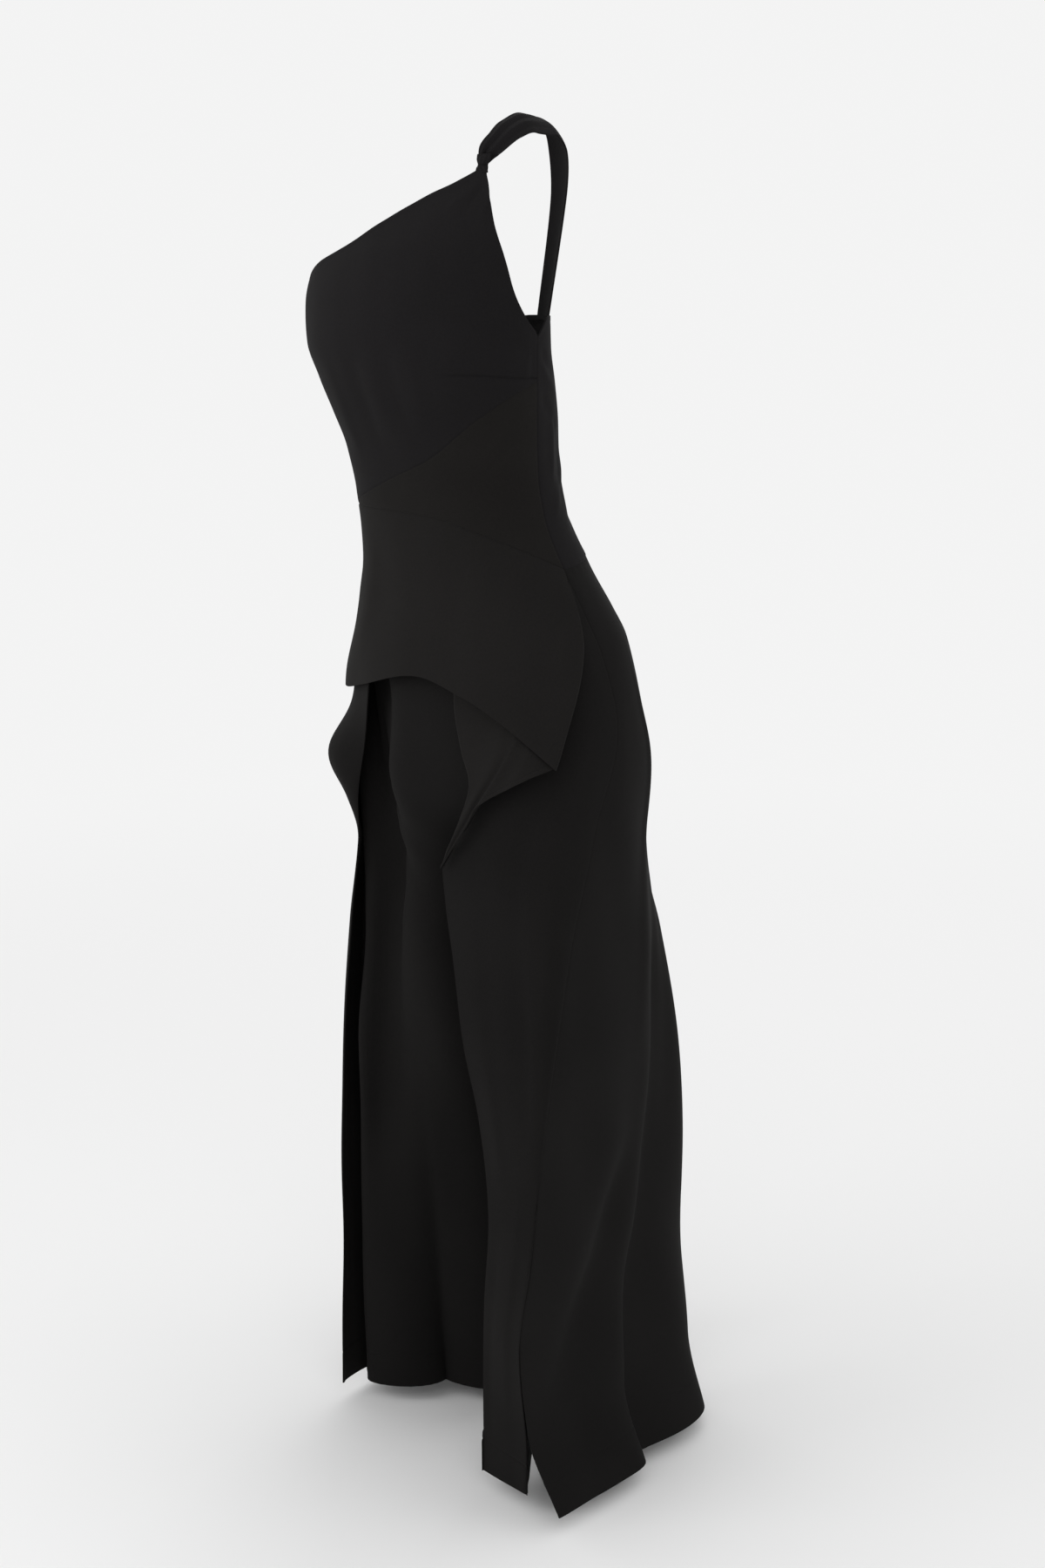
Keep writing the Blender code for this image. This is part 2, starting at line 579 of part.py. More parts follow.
def make_leg_panel(name, leg, folds, back, flip, columns=14):
    grid = []
    for j in range(PANEL_ROWS + HIP_ROWS + 1):
        line = []
        for i in range(columns + 1):
            place = i / columns
            if back:
                angle = mix(180, 90, place)
                waist_angle = 360 - angle if flip else angle
                waist = read(BACK_WAIST, "height", waist_angle, "angle") - SEAM_GAP / 2
            else:
                angle = mix(0, 90, place)
                waist_angle = -angle if flip else angle
                waist = read(LOWER_SEAM, "height", waist_angle, "angle") - 0.006
            height = mix(HEM, PANEL_TOP, j / PANEL_ROWS)
            if j > PANEL_ROWS:
                height = mix(PANEL_TOP, waist, (j - PANEL_ROWS) / HIP_ROWS)
            near_waist = ease((height - UNDER_START) / (waist - UNDER_START))
            lift = 0.0 if back else mix(UNDER_LIFT, WAIST_LIFT, near_waist)
            hip = torso_point(angle, height, lift)
            low = leg_point(leg, folds, place, height, back)
            point = mix(low, hip, ease((height - CROTCH) / (RISE_START - CROTCH)))
            if not back:
                point += Vector((-SIDE_INSET, SIDE_INSET, 0)) * ease((place - 0.55) / 0.4)
            elif i == columns:
                point.y += seam_room(height)
            if i == 0 and height < RISE_START:
                room = seam_room(height, 0.66)
                point.y += room if back else -room
            point.x = max(point.x, CENTRE_INSET)
            line.append(point)
        if back:
            line.reverse()
        if flip:
            line = [Vector((-p.x, p.y, p.z)) for p in reversed(line)]
        grid.append(line)
    sheet(name, grid)


def make_legs():
    make_leg_panel("leg_left_front", LEFT_LEG, LEFT_FRONT_FOLDS, False, False)
    make_leg_panel("leg_left_back", LEFT_LEG, LEFT_BACK_FOLDS, True, False)
    make_leg_panel("leg_right_front", RIGHT_LEG, RIGHT_FRONT_FOLDS, False, True)
    make_leg_panel("leg_right_back", RIGHT_LEG, RIGHT_BACK_FOLDS, True, True)


# ---------------------------------------------------------------- strap
def make_strap():
    columns, rows = 6, 22
    grid = []
    for j in range(rows + 1):
        along = j / rows
        centre = Vector([read(STRAP, axis, along, "along") for axis in ("x", "y", "height")])
        before, after = max(along - 0.02, 0), min(along + 0.02, 1)
        run = Vector([read(STRAP, axis, after, "along") - read(STRAP, axis, before, "along")
                      for axis in ("x", "y", "height")]).normalized()
        across = Vector([read(STRAP, "across_" + axis, along, "along") for axis in "xyz"])
        across = (across - run * across.dot(run)).normalized()
        up = across.cross(run)
        width = read(STRAP, "width", along, "along")
        crown = read(STRAP, "crown", along, "along")
        line = []
        for i in range(columns + 1):
            place = i / columns - 0.5
            rise = crown * (1 - (2 * place) ** 2)
            line.append(centre + across * width * place + up * rise)
        grid.append(line)
    sheet("strap_shoulder", grid, STRAP_WALL)


def make_pinch():
    """The bound pinch between the strap and the corner of the bodice."""
    form = bmesh.new()
    bmesh.ops.create_uvsphere(form, u_segments=16, v_segments=8, radius=1.0)
    for vertex in form.verts:
        vertex.co = Vector((vertex.co.x * 0.0085, vertex.co.y * 0.0050, vertex.co.z * 0.0062))
        vertex.co += PINCH - SHOULDER
    add_piece("strap_pinch", form)


clear_scene()
garment = bpy.data.collections.new("jumpsuit")
bpy.context.scene.collection.children.link(garment)
make_front_bodice()
make_waist_wedge()
make_back_bodice()
make_front_overlay()
make_left_cascade()
make_long_panels()
make_legs()
make_strap()
make_pinch()
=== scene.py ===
"""The jumpsuit's cloth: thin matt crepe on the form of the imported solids.

Each piece is a fine grid of points from the same section tables as the solids, pushed out or in
along its normal by seams, creases and folds, and closed into a sheet of the cloth's own thickness.
Units are metres, +Z is up, the front faces -Y and the wearer's left is +X. Heights in the tables
are above the floor; the row frame's origin is the point on the shoulder that carries the strap.
"""
import math

import bpy
import numpy as np
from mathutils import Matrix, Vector


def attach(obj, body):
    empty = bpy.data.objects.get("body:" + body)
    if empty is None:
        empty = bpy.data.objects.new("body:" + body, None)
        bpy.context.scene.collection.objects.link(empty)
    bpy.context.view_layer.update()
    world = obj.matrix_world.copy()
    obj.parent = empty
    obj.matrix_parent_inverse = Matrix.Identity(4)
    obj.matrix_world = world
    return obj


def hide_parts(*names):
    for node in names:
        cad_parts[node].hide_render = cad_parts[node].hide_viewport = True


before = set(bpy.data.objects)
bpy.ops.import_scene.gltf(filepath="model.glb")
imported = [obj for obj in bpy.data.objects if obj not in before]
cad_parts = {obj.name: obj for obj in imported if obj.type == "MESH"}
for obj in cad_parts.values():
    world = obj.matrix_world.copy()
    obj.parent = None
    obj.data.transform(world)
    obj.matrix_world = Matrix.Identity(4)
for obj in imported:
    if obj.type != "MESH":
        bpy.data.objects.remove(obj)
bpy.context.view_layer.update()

# ---- driving sizes
SHOULDER = np.array((0.1216, -0.025, 1.4277))    # the row frame's origin, above the floor
CREPE = 0.0008               # thickness of the cloth
STRAP_CLOTH = 0.0018         # the strap is folded
GRID = 0.0036                # spacing of the points on the body, and on the legs:
LEG_GRID = 0.0048
SEAM_GAP = -0.0004           # below 0: the sheets lap under a seam, so that no light shows
SEAM_DIP = 0.0007            # how deep a seam's edges turn in
SEAM_WIDTH = 0.0012          # and over what width
LEG_SEAM = 0.55              # share of that dip at the legs' seams
HEM = 0.02                   # height of the hems above the floor
HEM_DEPTH = 0.04             # turned-up hem of the legs
HEM_STITCH = 0.007           # spacing of the stitches that hold it
EDGE_HEM = 0.006             # narrow hem of the overlay's free edge and of the bodice's edges
BODICE_HEM, OVERLAY_HEM_CLOTH = 0.0007, 0.0006   # how much thicker the cloth is in it
CROTCH, RISE_START = 0.745, 0.885        # from here up to there the legs become the hips
FRONT_CROTCH, FRONT_RISE = 0.655, 0.795  # the same where the fronts' cloth bridges the crotch
DART_POINT = 38              # angle at which the bust dart runs out
WAIST_LEFT, WAIST_RIGHT = 1.008, 1.048   # heights of the waist seam at the sides
BACK_LEFT, BACK_RIGHT = 1.231, 1.261     # heights of the back's top edge at the sides
PANEL_TOP, LEFT_PANEL_WAIST = 0.935, 1.0   # the long panels end here, the left one's side higher
PANEL_LIFT = 0.003           # how far the long panels stand off the hips
OVERLAY_FLARE = 1.05         # power of the overlay's flare towards its hem
UNDER_LIFT, WAIST_LIFT, UNDER_START = -0.0045, -0.0019, 0.96    # the fronts lie under the overlay
SIDE_INSET = 0.0014          # the fronts' side edges lie under the long panels
CENTRE_INSET = -0.0002       # the backs lap over the centre by this much
CASCADE_LIFT = 0.0105        # how far the cascade's top stands off the body
FOLD_TOP_RADIUS, FOLD_RADIUS = 0.0004, 0.0028   # the overlay turns back round this radius
BODY_RADIUS = 0.12           # rough, turns a seam's gap to an angle
BODY_REACH, OVERLAY_REACH = 0.122, 0.15   # radii that turn a crease's angles to metres
PANEL_WIDTH, BACK_WIDTH, FRONT_WIDTH = 0.13, 0.42, 0.22   # rough, of the pieces of a leg
WEDGE_TIP, WEDGE_SIDE, WEDGE_SHARE = -44, 1.191, 0.25   # its angle, height at the side and share
OVERLAY_RIGHT_END = -89      # angle of the overlay's hem at the right
OVERLAY_LEFT_END, TIP_HEIGHT = 54.7, 0.824   # angle and height of the overlay's left tip
CASCADE_TOP = 0.925          # height at which the inner fold ends
CAMERA_TURN, CAMERA_TILT = 48.0, 76.8   # the camera's angles, in degrees
STUDIO_WHITE = 0.9           # brightness of the world, and of the floor far away
SHARP_ANGLE = math.radians(50)


def table(columns, rows):
    """Rows of numbers become records with named columns."""
    names = columns.split()
    return [dict(zip(names, row)) for row in rows]


# ---- sections of the form
TORSO = table("height centre width front back", [
    (0.7, 0.052, 0.184, 0.116, 0.112), (0.79, 0.05, 0.184, 0.12, 0.111),
    (0.86, 0.043, 0.18, 0.12, 0.113), (0.93, 0.032, 0.165, 0.106, 0.119),
    (0.96, 0.023, 0.155, 0.097, 0.114), (1.008, 0.01, 0.136, 0.09, 0.1),
    (1.058, -0.006, 0.124, 0.088, 0.0925), (1.085, -0.013, 0.123, 0.085, 0.0925),
    (1.118, -0.02, 0.126, 0.086, 0.093), (1.155, -0.027, 0.131, 0.096, 0.095),
    (1.19, -0.035, 0.138, 0.104, 0.093), (1.222, -0.043, 0.144, 0.107, 0.091),
    (1.262, -0.045, 0.146, 0.104, 0.09), (1.3, -0.041, 0.148, 0.094, 0.088),
    (1.34, -0.031, 0.151, 0.077, 0.085), (1.38, -0.02, 0.152, 0.066, 0.082),
    (1.42, -0.012, 0.15, 0.058, 0.08)])

# Seams and edges by the angle round the body: 0 at the front, 90 at the wearer's left side.
LOWER_SEAM = table("angle height", [
    (-90, 1.048), (-42, 1.061), (0, 1.062), (25, 1.058), (55, 1.038), (90, 1.008)])
WEDGE = table("angle tall", [
    (-90, 0), (-50, 0), (-42, 0.004), (-10, 0.023), (25, 0.055), (58, 0.12), (90, 0.178),
    (95, 0.183)])
BACK_WAIST = table("angle height", [
    (90, 1.008), (135, 1.015), (180, 1.022), (225, 1.033), (270, 1.048)])
BACK_TOP = table("angle height", [
    (97, 1.231), (114, 1.25), (128, 1.2504), (142, 1.2504), (158, 1.25), (180, 1.244),
    (225, 1.247), (270, 1.261)])
NECKLINE = table("angle height", [
    (-90, 1.261), (-60, 1.28), (-34, 1.298), (-13, 1.315), (3.4, 1.338), (22, 1.3625),
    (32, 1.3725), (44, 1.387)])
FRONT_LEFT_EDGE = table("height angle", [
    (1.191, 95), (1.231, 97.5), (1.247, 89), (1.266, 82), (1.304, 71), (1.337, 58), (1.387, 44)])
DART = table("angle height", [
    (-90, 1.18), (-20, 1.196), (27, 1.1985), (60, 1.1965), (80, 1.194), (98, 1.193)])
SIDE_ANGLE = table("height angle", [
    (0.7, 90), (0.93, 90), (1.008, 90), (1.1, 92.2), (1.191, 95), (1.231, 97)])
OVERLAY_HEM = table("angle height lift", [
    (-89, 0.852, 0.014), (-66, 0.858, 0.015), (-41, 0.864, 0.013), (-22, 0.877, 0.012),
    (9, 0.899, 0.014), (29, 0.884, 0.023), (40, 0.865, 0.031), (54.7, 0.824, 0.041)])
LEFT_FOLD = table("height angle", [
    (0.824, 54.7), (0.87, 62), (0.92, 72), (0.97, 83), (1.008, 90)])
CASCADE_EDGE = table("along x y height", [
    (0, 0.1755, -0.0405, 0.8235), (0.12, 0.164, -0.059, 0.8149), (0.27, 0.1475, -0.072, 0.8032),
    (0.43, 0.1233, -0.079, 0.7886), (0.56, 0.1071, -0.082, 0.7756), (0.7, 0.0914, -0.08, 0.7546),
    (0.86, 0.0663, -0.0765, 0.7266), (1, 0.0435, -0.0725, 0.7012)])
# Where the fronts meet: below the overlay the right leg's cloth laps across to under the cascade.
FRONT_SEAM = table("height angle", [
    (0.5, 20), (0.64, 24), (0.74, 31), (0.88, 31), (0.95, 0), (1.06, 0)])
INNER_FOLD = table("along x y height", [
    (0, 0.0435, -0.0725, 0.7012), (0.28, 0.0801, -0.0765, 0.7607), (0.45, 0.0945, -0.077, 0.8008),
    (0.58, 0.0813, -0.0755, 0.8315), (0.79, 0.07, -0.0745, 0.8777), (1, 0.0719, -0.0746, 0.925)])

# Trouser legs: two half ellipses on the line from the inseam to the side seam.
LEG_COLUMNS = "height seam_x seam_y slit_x slit_y inseam_x inseam_y front back"
LEFT_LEG = table(LEG_COLUMNS, [
    (0.02, 0.134, -0.037, 0.192, -0.042, 0.034, 0.07, 0.004, 0.242),
    (0.1, 0.147, -0.05, 0.155, -0.052, 0.031, 0.07, 0.005, 0.243),
    (0.205, 0.149, -0.061, 0.15, -0.06, 0.028, 0.068, 0.009, 0.238),
    (0.3, 0.162, -0.057, 0.163, -0.056, 0.022, 0.064, 0.018, 0.231),
    (0.42, 0.172, -0.05, 0.172, -0.05, 0.018, 0.06, 0.026, 0.222),
    (0.62, 0.184, -0.026, 0.184, -0.026, 0.008, 0.05, 0.048, 0.172),
    (0.745, 0.185, 0.006, 0.185, 0.006, 0.0002, 0.045, 0.076, 0.127),
    (0.86, 0.181, 0.028, 0.181, 0.028, 0.0002, 0.035, 0.086, 0.12)])
RIGHT_LEG = table(LEG_COLUMNS, [
    (0.02, 0.203, 0.02, 0.203, 0.02, 0.035, 0.105, 0.036, 0.19),
    (0.205, 0.2, 0.015, 0.2, 0.015, 0.028, 0.085, 0.046, 0.188),
    (0.42, 0.196, 0.012, 0.196, 0.012, 0.018, 0.064, 0.062, 0.175),
    (0.62, 0.19, 0.014, 0.19, 0.014, 0.008, 0.05, 0.072, 0.15),
    (0.745, 0.186, 0.022, 0.186, 0.022, 0.0002, 0.045, 0.085, 0.128),
    (0.86, 0.181, 0.032, 0.181, 0.032, 0.0002, 0.035, 0.09, 0.125)])
FOLD_COLUMNS = "top place_top place_hem width depth_mid depth_hem"
LEFT_BACK_FOLDS = table(FOLD_COLUMNS, [
    (0.45, 0.78, 0.95, 0.05, -0.008, -0.004), (0.62, 0.76, 0.87, 0.045, -0.002, -0.003),
    (0.72, 0.64, 0.745, 0.055, -0.008, -0.044), (0.62, 0.56, 0.61, 0.06, 0.002, 0.006),
    (0.6, 0.34, 0.4, 0.05, 0.004, 0.008), (0.55, 0.18, 0.22, 0.06, -0.004, -0.012)])
RIGHT_BACK_FOLDS = table(FOLD_COLUMNS, [
    (0.66, 0.78, 0.8, 0.055, -0.005, -0.012), (0.6, 0.6, 0.64, 0.05, 0.005, 0.011),
    (0.68, 0.44, 0.47, 0.05, -0.006, -0.014), (0.55, 0.26, 0.3, 0.055, 0.004, 0.01)])
LEFT_FRONT_FOLDS = table(FOLD_COLUMNS, [
    (0.9, 0.78, 0.76, 0.11, -0.026, -0.012)])
RIGHT_FRONT_FOLDS = table(FOLD_COLUMNS, [
    (0.9, 0.78, 0.8, 0.12, -0.044, 0.008), (0.86, 0.5, 0.6, 0.08, -0.014, 0),
    (0.6, 0.64, 0.62, 0.11, 0.006, 0.032), (0.58, 0.34, 0.28, 0.24, -0.006, -0.04)])
LEFT_PANEL = table("height edge_x edge_y round bulge", [
    (0.02, 0.066, -0.039, 1.6, 0.001), (0.116, 0.072, -0.044, 1.6, 0.001),
    (0.223, 0.081, -0.05, 1.5, 0.002), (0.33, 0.094, -0.055, 1.4, 0.002),
    (0.442, 0.082, -0.059, 1.1, 0.004), (0.515, 0.066, -0.062, 0.9, 0.004),
    (0.605, 0.05, -0.063, 0.85, 0.004), (0.66, 0.04, -0.064, 0.8, 0.003),
    (0.699, 0.0375, -0.066, 0.8, 0.002), (0.757, 0.083, -0.066, 0.8, 0),
    (0.796, 0.104, -0.066, 0.8, 0), (0.828, 0.102, -0.066, 0.8, 0), (0.88, 0.096, -0.066, 0.8, 0),
    (0.935, 0.092, -0.066, 0.8, 0)])
RIGHT_PANEL = table("height edge_x edge_y round bulge", [
    (0.02, 0.189, -0.036, 1.2, 0), (0.2, 0.18, -0.038, 1.2, 0), (0.4, 0.171, -0.04, 1.2, 0),
    (0.5, 0.161, -0.042, 1.3, 0), (0.6, 0.143, -0.046, 1.5, 0), (0.695, 0.118, -0.053, 1.8, 0),
    (0.745, 0.106, -0.062, 1.6, 0.016), (0.8, 0.091, -0.07, 1.1, 0.036),
    (0.845, 0.082, -0.074, 1, 0.012), (0.876, 0.073, -0.075, 0.8, 0),
    (0.935, 0.068, -0.073, 0.8, 0)])
STRAP = table("along x y height width crown across_x across_y across_z", [
    (0, 0.1058, -0.0655, 1.3915, 0.011, 0.001, 0.75, 0.6, 0),
    (0.08, 0.1094, -0.0636, 1.3995, 0.019, 0.0019, 0.75, 0.5, -0.05),
    (0.17, 0.116, -0.056, 1.41, 0.026, 0.0027, 0.76, 0.3, -0.2),
    (0.28, 0.1195, -0.044, 1.42, 0.034, 0.0036, 0.78, -0.05, -0.4),
    (0.42, 0.1216, -0.025, 1.4262, 0.037, 0.0039, 0.79, -0.3, -0.48),
    (0.55, 0.117, 0.001, 1.425, 0.037, 0.0039, 0.82, -0.2, -0.4),
    (0.66, 0.11, 0.024, 1.408, 0.037, 0.0036, 0.86, -0.2, -0.25),
    (0.8, 0.099, 0.036, 1.358, 0.036, 0.003, 0.86, -0.32, -0.08),
    (1, 0.0894, 0.0248, 1.2455, 0.036, 0.0015, 0.9, -0.44, 0)])
PINCH = table("along x y height wide deep", [
    (0, 0.1028, -0.0655, 1.3805, 0.0082, 0.002), (0.25, 0.1034, -0.0654, 1.385, 0.007, 0.0034),
    (0.45, 0.104, -0.0652, 1.3872, 0.0056, 0.0042),
    (0.55, 0.1043, -0.0652, 1.3882, 0.0054, 0.0044), (0.7, 0.1048, -0.0652, 1.39, 0.0068, 0.0044),
    (0.85, 0.1056, -0.0654, 1.393, 0.0086, 0.004), (1, 0.1068, -0.0656, 1.3975, 0.0092, 0.0024)])

# ---- creases
# A crease runs from (a0, h0) to (a1, h1), where a is an angle or a share of the piece's width, and
# h the height. Width, depth (positive for a ridge) and bow, which bends it, are in millimetres.
CREASE_COLUMNS = "a0 h0 a1 h1 width depth bow"
BODICE_CREASES = table(CREASE_COLUMNS, [
    (14, 1.235, 10, 1.12, 10, 1.3, 2),   # soft upright folds under the bust
    (24, 1.24, 20, 1.13, 8, -1.2, 1),
    (34, 1.236, 28, 1.14, 9, 1.2, -1),
    (4, 1.225, 0, 1.11, 9, -1.2, 2),
    (-16, 1.23, -20, 1.1, 12, 1.2, 2),
    (91, 1.228, 86, 1.18, 4, 1.2, 1),   # the fold beside the side seam
    (92, 1.205, 66, 1.212, 8, 0.8, 1),
    (94, 1.215, 74, 1.232, 5, -1, -2),
    (92, 1.226, 70, 1.252, 6, 0.8, 2),
    (48, 1.378, 40, 1.334, 3, -1.2, 1),   # gathers under the pinch
    (50, 1.377, 52, 1.336, 3, 1, 0),
    (47, 1.376, 32, 1.342, 4, 1, 1.5),
    (20, 1.27, 8, 1.11, 20, -1.2, 6),
    (58, 1.26, 36, 1.16, 16, 1, -4),
    (-52, 1.23, -62, 1.09, 18, -1.4, 4)])
WEDGE_CREASES = table(CREASE_COLUMNS, [
    (92, 1.172, 60, 1.12, 6, 1, 2), (92, 1.15, 52, 1.094, 7, -1, 3),
    (91, 1.11, 58, 1.072, 8, 0.9, -2), (91, 1.06, 66, 1.04, 6, -0.7, 1)])
BACK_CREASES = table(CREASE_COLUMNS, [
    (99, 1.222, 118, 1.196, 5, -1.2, 2), (98, 1.206, 122, 1.172, 6, 1.1, 1),
    (97, 1.18, 116, 1.14, 6, -1.2, -1), (112, 1.17, 108, 1.085, 6, 1.6, 3),
    (122, 1.15, 117, 1.06, 9, -1.4, 2), (140, 1.12, 98, 1.052, 7, 1.2, 3),
    (160, 1.08, 110, 1.03, 8, -1, 2), (172, 1.23, 150, 1.11, 14, -1, 4),
    (200, 1.22, 226, 1.1, 14, -1, 4), (262, 1.24, 236, 1.19, 6, -1.2, 2),
    (263, 1.216, 232, 1.16, 7, 1, 1), (264, 1.08, 206, 1.04, 8, -1.1, 2)])
OVERLAY_CREASES = table(CREASE_COLUMNS, [
    (84, 1.01, 50, 0.88, 12, -1.6, 6), (70, 1.02, 30, 0.91, 18, 1.4, 6),
    (40, 1.04, 12, 0.92, 16, -1.2, -4), (-20, 1.05, -30, 0.89, 18, 1.4, 4),
    (-52, 1.04, -46, 0.88, 14, -1.8, 3), (-72, 1.04, -74, 0.87, 16, 1.6, 2)])


# ---- curves and forms
def curve(records, column, key="height"):
    """A smooth curve through a column of a table, for arrays of places."""
    ordered = sorted(records, key=lambda record: record[key])
    knots = np.array([record[key] for record in ordered], float)
    values = np.array([record[column] for record in ordered], float)
    rise = np.diff(values) / np.diff(knots)
    slopes = np.concatenate([rise[:1], np.zeros(len(knots) - 2), rise[-1:]])
    for k in range(1, len(knots) - 1):
        if rise[k - 1] * rise[k] > 0:
            slopes[k] = 2 * rise[k - 1] * rise[k] / (rise[k - 1] + rise[k])

    def value(at):
        at = np.clip(np.asarray(at, float), knots[0], knots[-1])
        i = np.clip(np.searchsorted(knots, at, side="right") - 1, 0, len(knots) - 2)
        step = knots[i + 1] - knots[i]
        t = (at - knots[i]) / step
        start = np.where(i == 0, rise[0], slopes[i]) * step
        end = np.where(i == len(knots) - 2, rise[-1], slopes[i + 1]) * step
        return ((2 * t ** 3 - 3 * t ** 2 + 1) * values[i] + (t ** 3 - 2 * t ** 2 + t) * start
                + (3 * t ** 2 - 2 * t ** 3) * values[i + 1] + (t ** 3 - t ** 2) * end)
    return value


def curves(records, key="height"):
    """Every column of a table as a curve."""
    return {name: curve(records, name, key) for name in records[0] if name != key}


torso_at = curves(TORSO)
lower_seam = curve(LOWER_SEAM, "height", "angle")
wedge_tall = curve(WEDGE, "tall", "angle")
back_waist = curve(BACK_WAIST, "height", "angle")
back_top = curve(BACK_TOP, "height", "angle")
neckline_at = curve(NECKLINE, "height", "angle")
front_left_edge = curve(FRONT_LEFT_EDGE, "angle")
side_angle = curve(SIDE_ANGLE, "angle")
dart_line = curve(DART, "height", "angle")
overlay_hem = curves(OVERLAY_HEM, "angle")


def mix(a, b, t):
    return a + (b - a) * t


def ease(t):
    """0 to 1 with a soft start and end."""
    t = np.clip(t, 0.0, 1.0)
    return t * t * (3 - 2 * t)


def stack(*arrays):
    """Arrays of single coordinates as points."""
    return np.stack(np.broadcast_arrays(*arrays), axis=-1)


def unit(vectors, least=1e-12):
    """Vectors at a length of 1."""
    return vectors / np.maximum(np.linalg.norm(vectors, axis=-1, keepdims=True), least)


def torso(angle, height, lift=0.0):
    """Points on the body of the garment, or that far outside it."""
    turn = np.radians(angle)
    depth = np.where(np.cos(turn) > 0, torso_at["front"](height), torso_at["back"](height))
    width = torso_at["width"](height) + lift
    return stack(width * np.sin(turn),
                 torso_at["centre"](height) - (depth + lift) * np.cos(turn), height)


def gap_angle(angle, side, height):
    """Angles moved half a seam gap round the body, for as many places as there are heights."""
    return angle + side * np.degrees(SEAM_GAP / 2 / BODY_RADIUS) + 0 * height


def seam_angle(first, last, t):
    """Angles along the front seams, with the wedge's tip always at the same share."""
    return np.where(t < WEDGE_SHARE, mix(first, WEDGE_TIP, t / WEDGE_SHARE),
                    mix(WEDGE_TIP, last, (t - WEDGE_SHARE) / (1 - WEDGE_SHARE)))


def patch(low, high, start, end, s, t):
    """Places inside four boundary curves, for stops s across and t up."""
    across, up = s[None, :, None], t[:, None, None]
    bottom, top = low(s)[None, :, :], high(s)[None, :, :]
    first, last = start(t)[:, None, :], end(t)[:, None, :]
    ends = np.array([0.0, 1.0])
    b, h = low(ends), high(ends)
    corners = mix(mix(b[0], b[1], across), mix(h[0], h[1], across), up)
    return mix(bottom, top, up) + mix(first, last, across) - corners


def stops(count, length, extra=()):
    """Shares from 0 to 1: even ones, closer ones beside both ends, and extra ones."""
    near = np.array([0.0006, 0.0013, 0.0022, 0.0034, 0.0052]) / length
    every = np.concatenate([np.linspace(0, 1, count + 1), near, 1 - near, np.array(extra)])
    every = np.unique(np.clip(every, 0, 1))
    keep = [every[0]]
    for value in every[1:]:
        if value - keep[-1] > 0.0004 / length:
            keep.append(value)
    keep[-1] = 1.0
    return np.array(keep)


# ---- cloth
def normals(points):
    """Unit normals of a grid of points."""
    across = np.gradient(points, axis=1)
    up = np.gradient(points, axis=0)
    return unit(np.cross(across, up))


def pushed(points, push):
    """A grid of points moved out along its normals."""
    return points + normals(points) * push[..., None]


def edge_distances(points):
    """How far each point of a grid lies from the grid's start, end, low and high edges."""
    across = np.linalg.norm(np.diff(points, axis=1), axis=-1)
    up = np.linalg.norm(np.diff(points, axis=0), axis=-1)
    start = np.concatenate([np.zeros((points.shape[0], 1)), np.cumsum(across, axis=1)], axis=1)
    low = np.concatenate([np.zeros((1, points.shape[1])), np.cumsum(up, axis=0)], axis=0)
    return {"start": start, "end": start[:, -1:] - start, "low": low, "high": low[-1:] - low}


def seam_push(distance, edge, seed):
    """A seam turns the edge of a grid in, with faint uneven puckers beside it."""
    along = distance["low" if edge in ("start", "end") else "start"]
    off = distance[edge]
    dip = -SEAM_DIP * np.exp(-(off / SEAM_WIDTH) ** 2)
    wave = np.sin(along * 2 * math.pi / 0.0125 + 1.9 * np.sin(along * 37 + seed))
    strength = 0.5 + 0.5 * np.sin(along * 21 + 2 * seed)
    pucker = 0.00014 * strength * wave * np.exp(-((off - 0.003) / 0.004) ** 2)
    return dip + pucker


def edge_hem(distance, extra):
    """How much a narrow hem adds to the cloth's thickness beside its edge."""
    return extra * ease((EDGE_HEM + 0.0008 - distance) / 0.0008)


def leg_hem(low):
    """How much the turned-up hem adds to the thickness of the legs' cloth."""
    return CREPE * ease((HEM_DEPTH - low) / 0.0015)


def crease_push(records, across, height, reach):
    """Soft uneven troughs and ridges along lines; reach is the metres in the measure across."""
    push = np.zeros(np.broadcast(across, height).shape)
    for number, crease in enumerate(records):
        run_a = (crease["a1"] - crease["a0"]) * reach
        run_h = crease["h1"] - crease["h0"]
        length = math.hypot(run_a, run_h)
        a = (across - crease["a0"]) * reach
        h = height - crease["h0"]
        along = (a * run_a + h * run_h) / length ** 2
        off = (a * run_h - h * run_a) / length
        width, depth, bow = (crease[key] / 1000 for key in ("width", "depth", "bow"))
        off = off - bow * np.sin(math.pi * np.clip(along, 0, 1))
        off = off + 0.12 * width * np.sin(along * 9 + number)
        width = width * np.where(off > 0, 1.25, 0.8)
        fade = ease(along / 0.3) * ease((1 - along) / 0.3)
        push += depth * fade * np.exp(-(off / width) ** 2)
    return push


def unevenness(points, size=0.11, depth=0.0006, seed=0.0):
    """Very shallow waves, as in cloth that hangs."""
    x, y, z = (points[..., k] * 2 * math.pi / size for k in range(3))
    waves = (np.sin(x + 0.6 * z + seed) + np.sin(1.7 * y - 0.8 * x + 0.5 * z + 2 * seed)
             + np.sin(0.9 * z + 1.3 * y + 1.1 * seed) + 0.6 * np.sin(2.3 * x + 1.9 * y - seed))
    return depth * waves / 2.4


def calm(distance, edges, reach=0.025):
    """0 at the named edges of a grid and 1 away from them."""
    share = 1.0
    for edge in edges:
        share = share * ease(distance[edge] / reach)
    return share


def smooth_mesh(name, vertices, faces):
    """A mesh shaded smooth, but sharp where it turns by more than SHARP_ANGLE."""
    mesh = bpy.data.meshes.new(name)
    mesh.from_pydata(vertices.reshape(-1, 3).tolist(), [], faces)
    mesh.shade_smooth()
    mesh.set_sharp_from_angle(angle=SHARP_ANGLE)
    return mesh


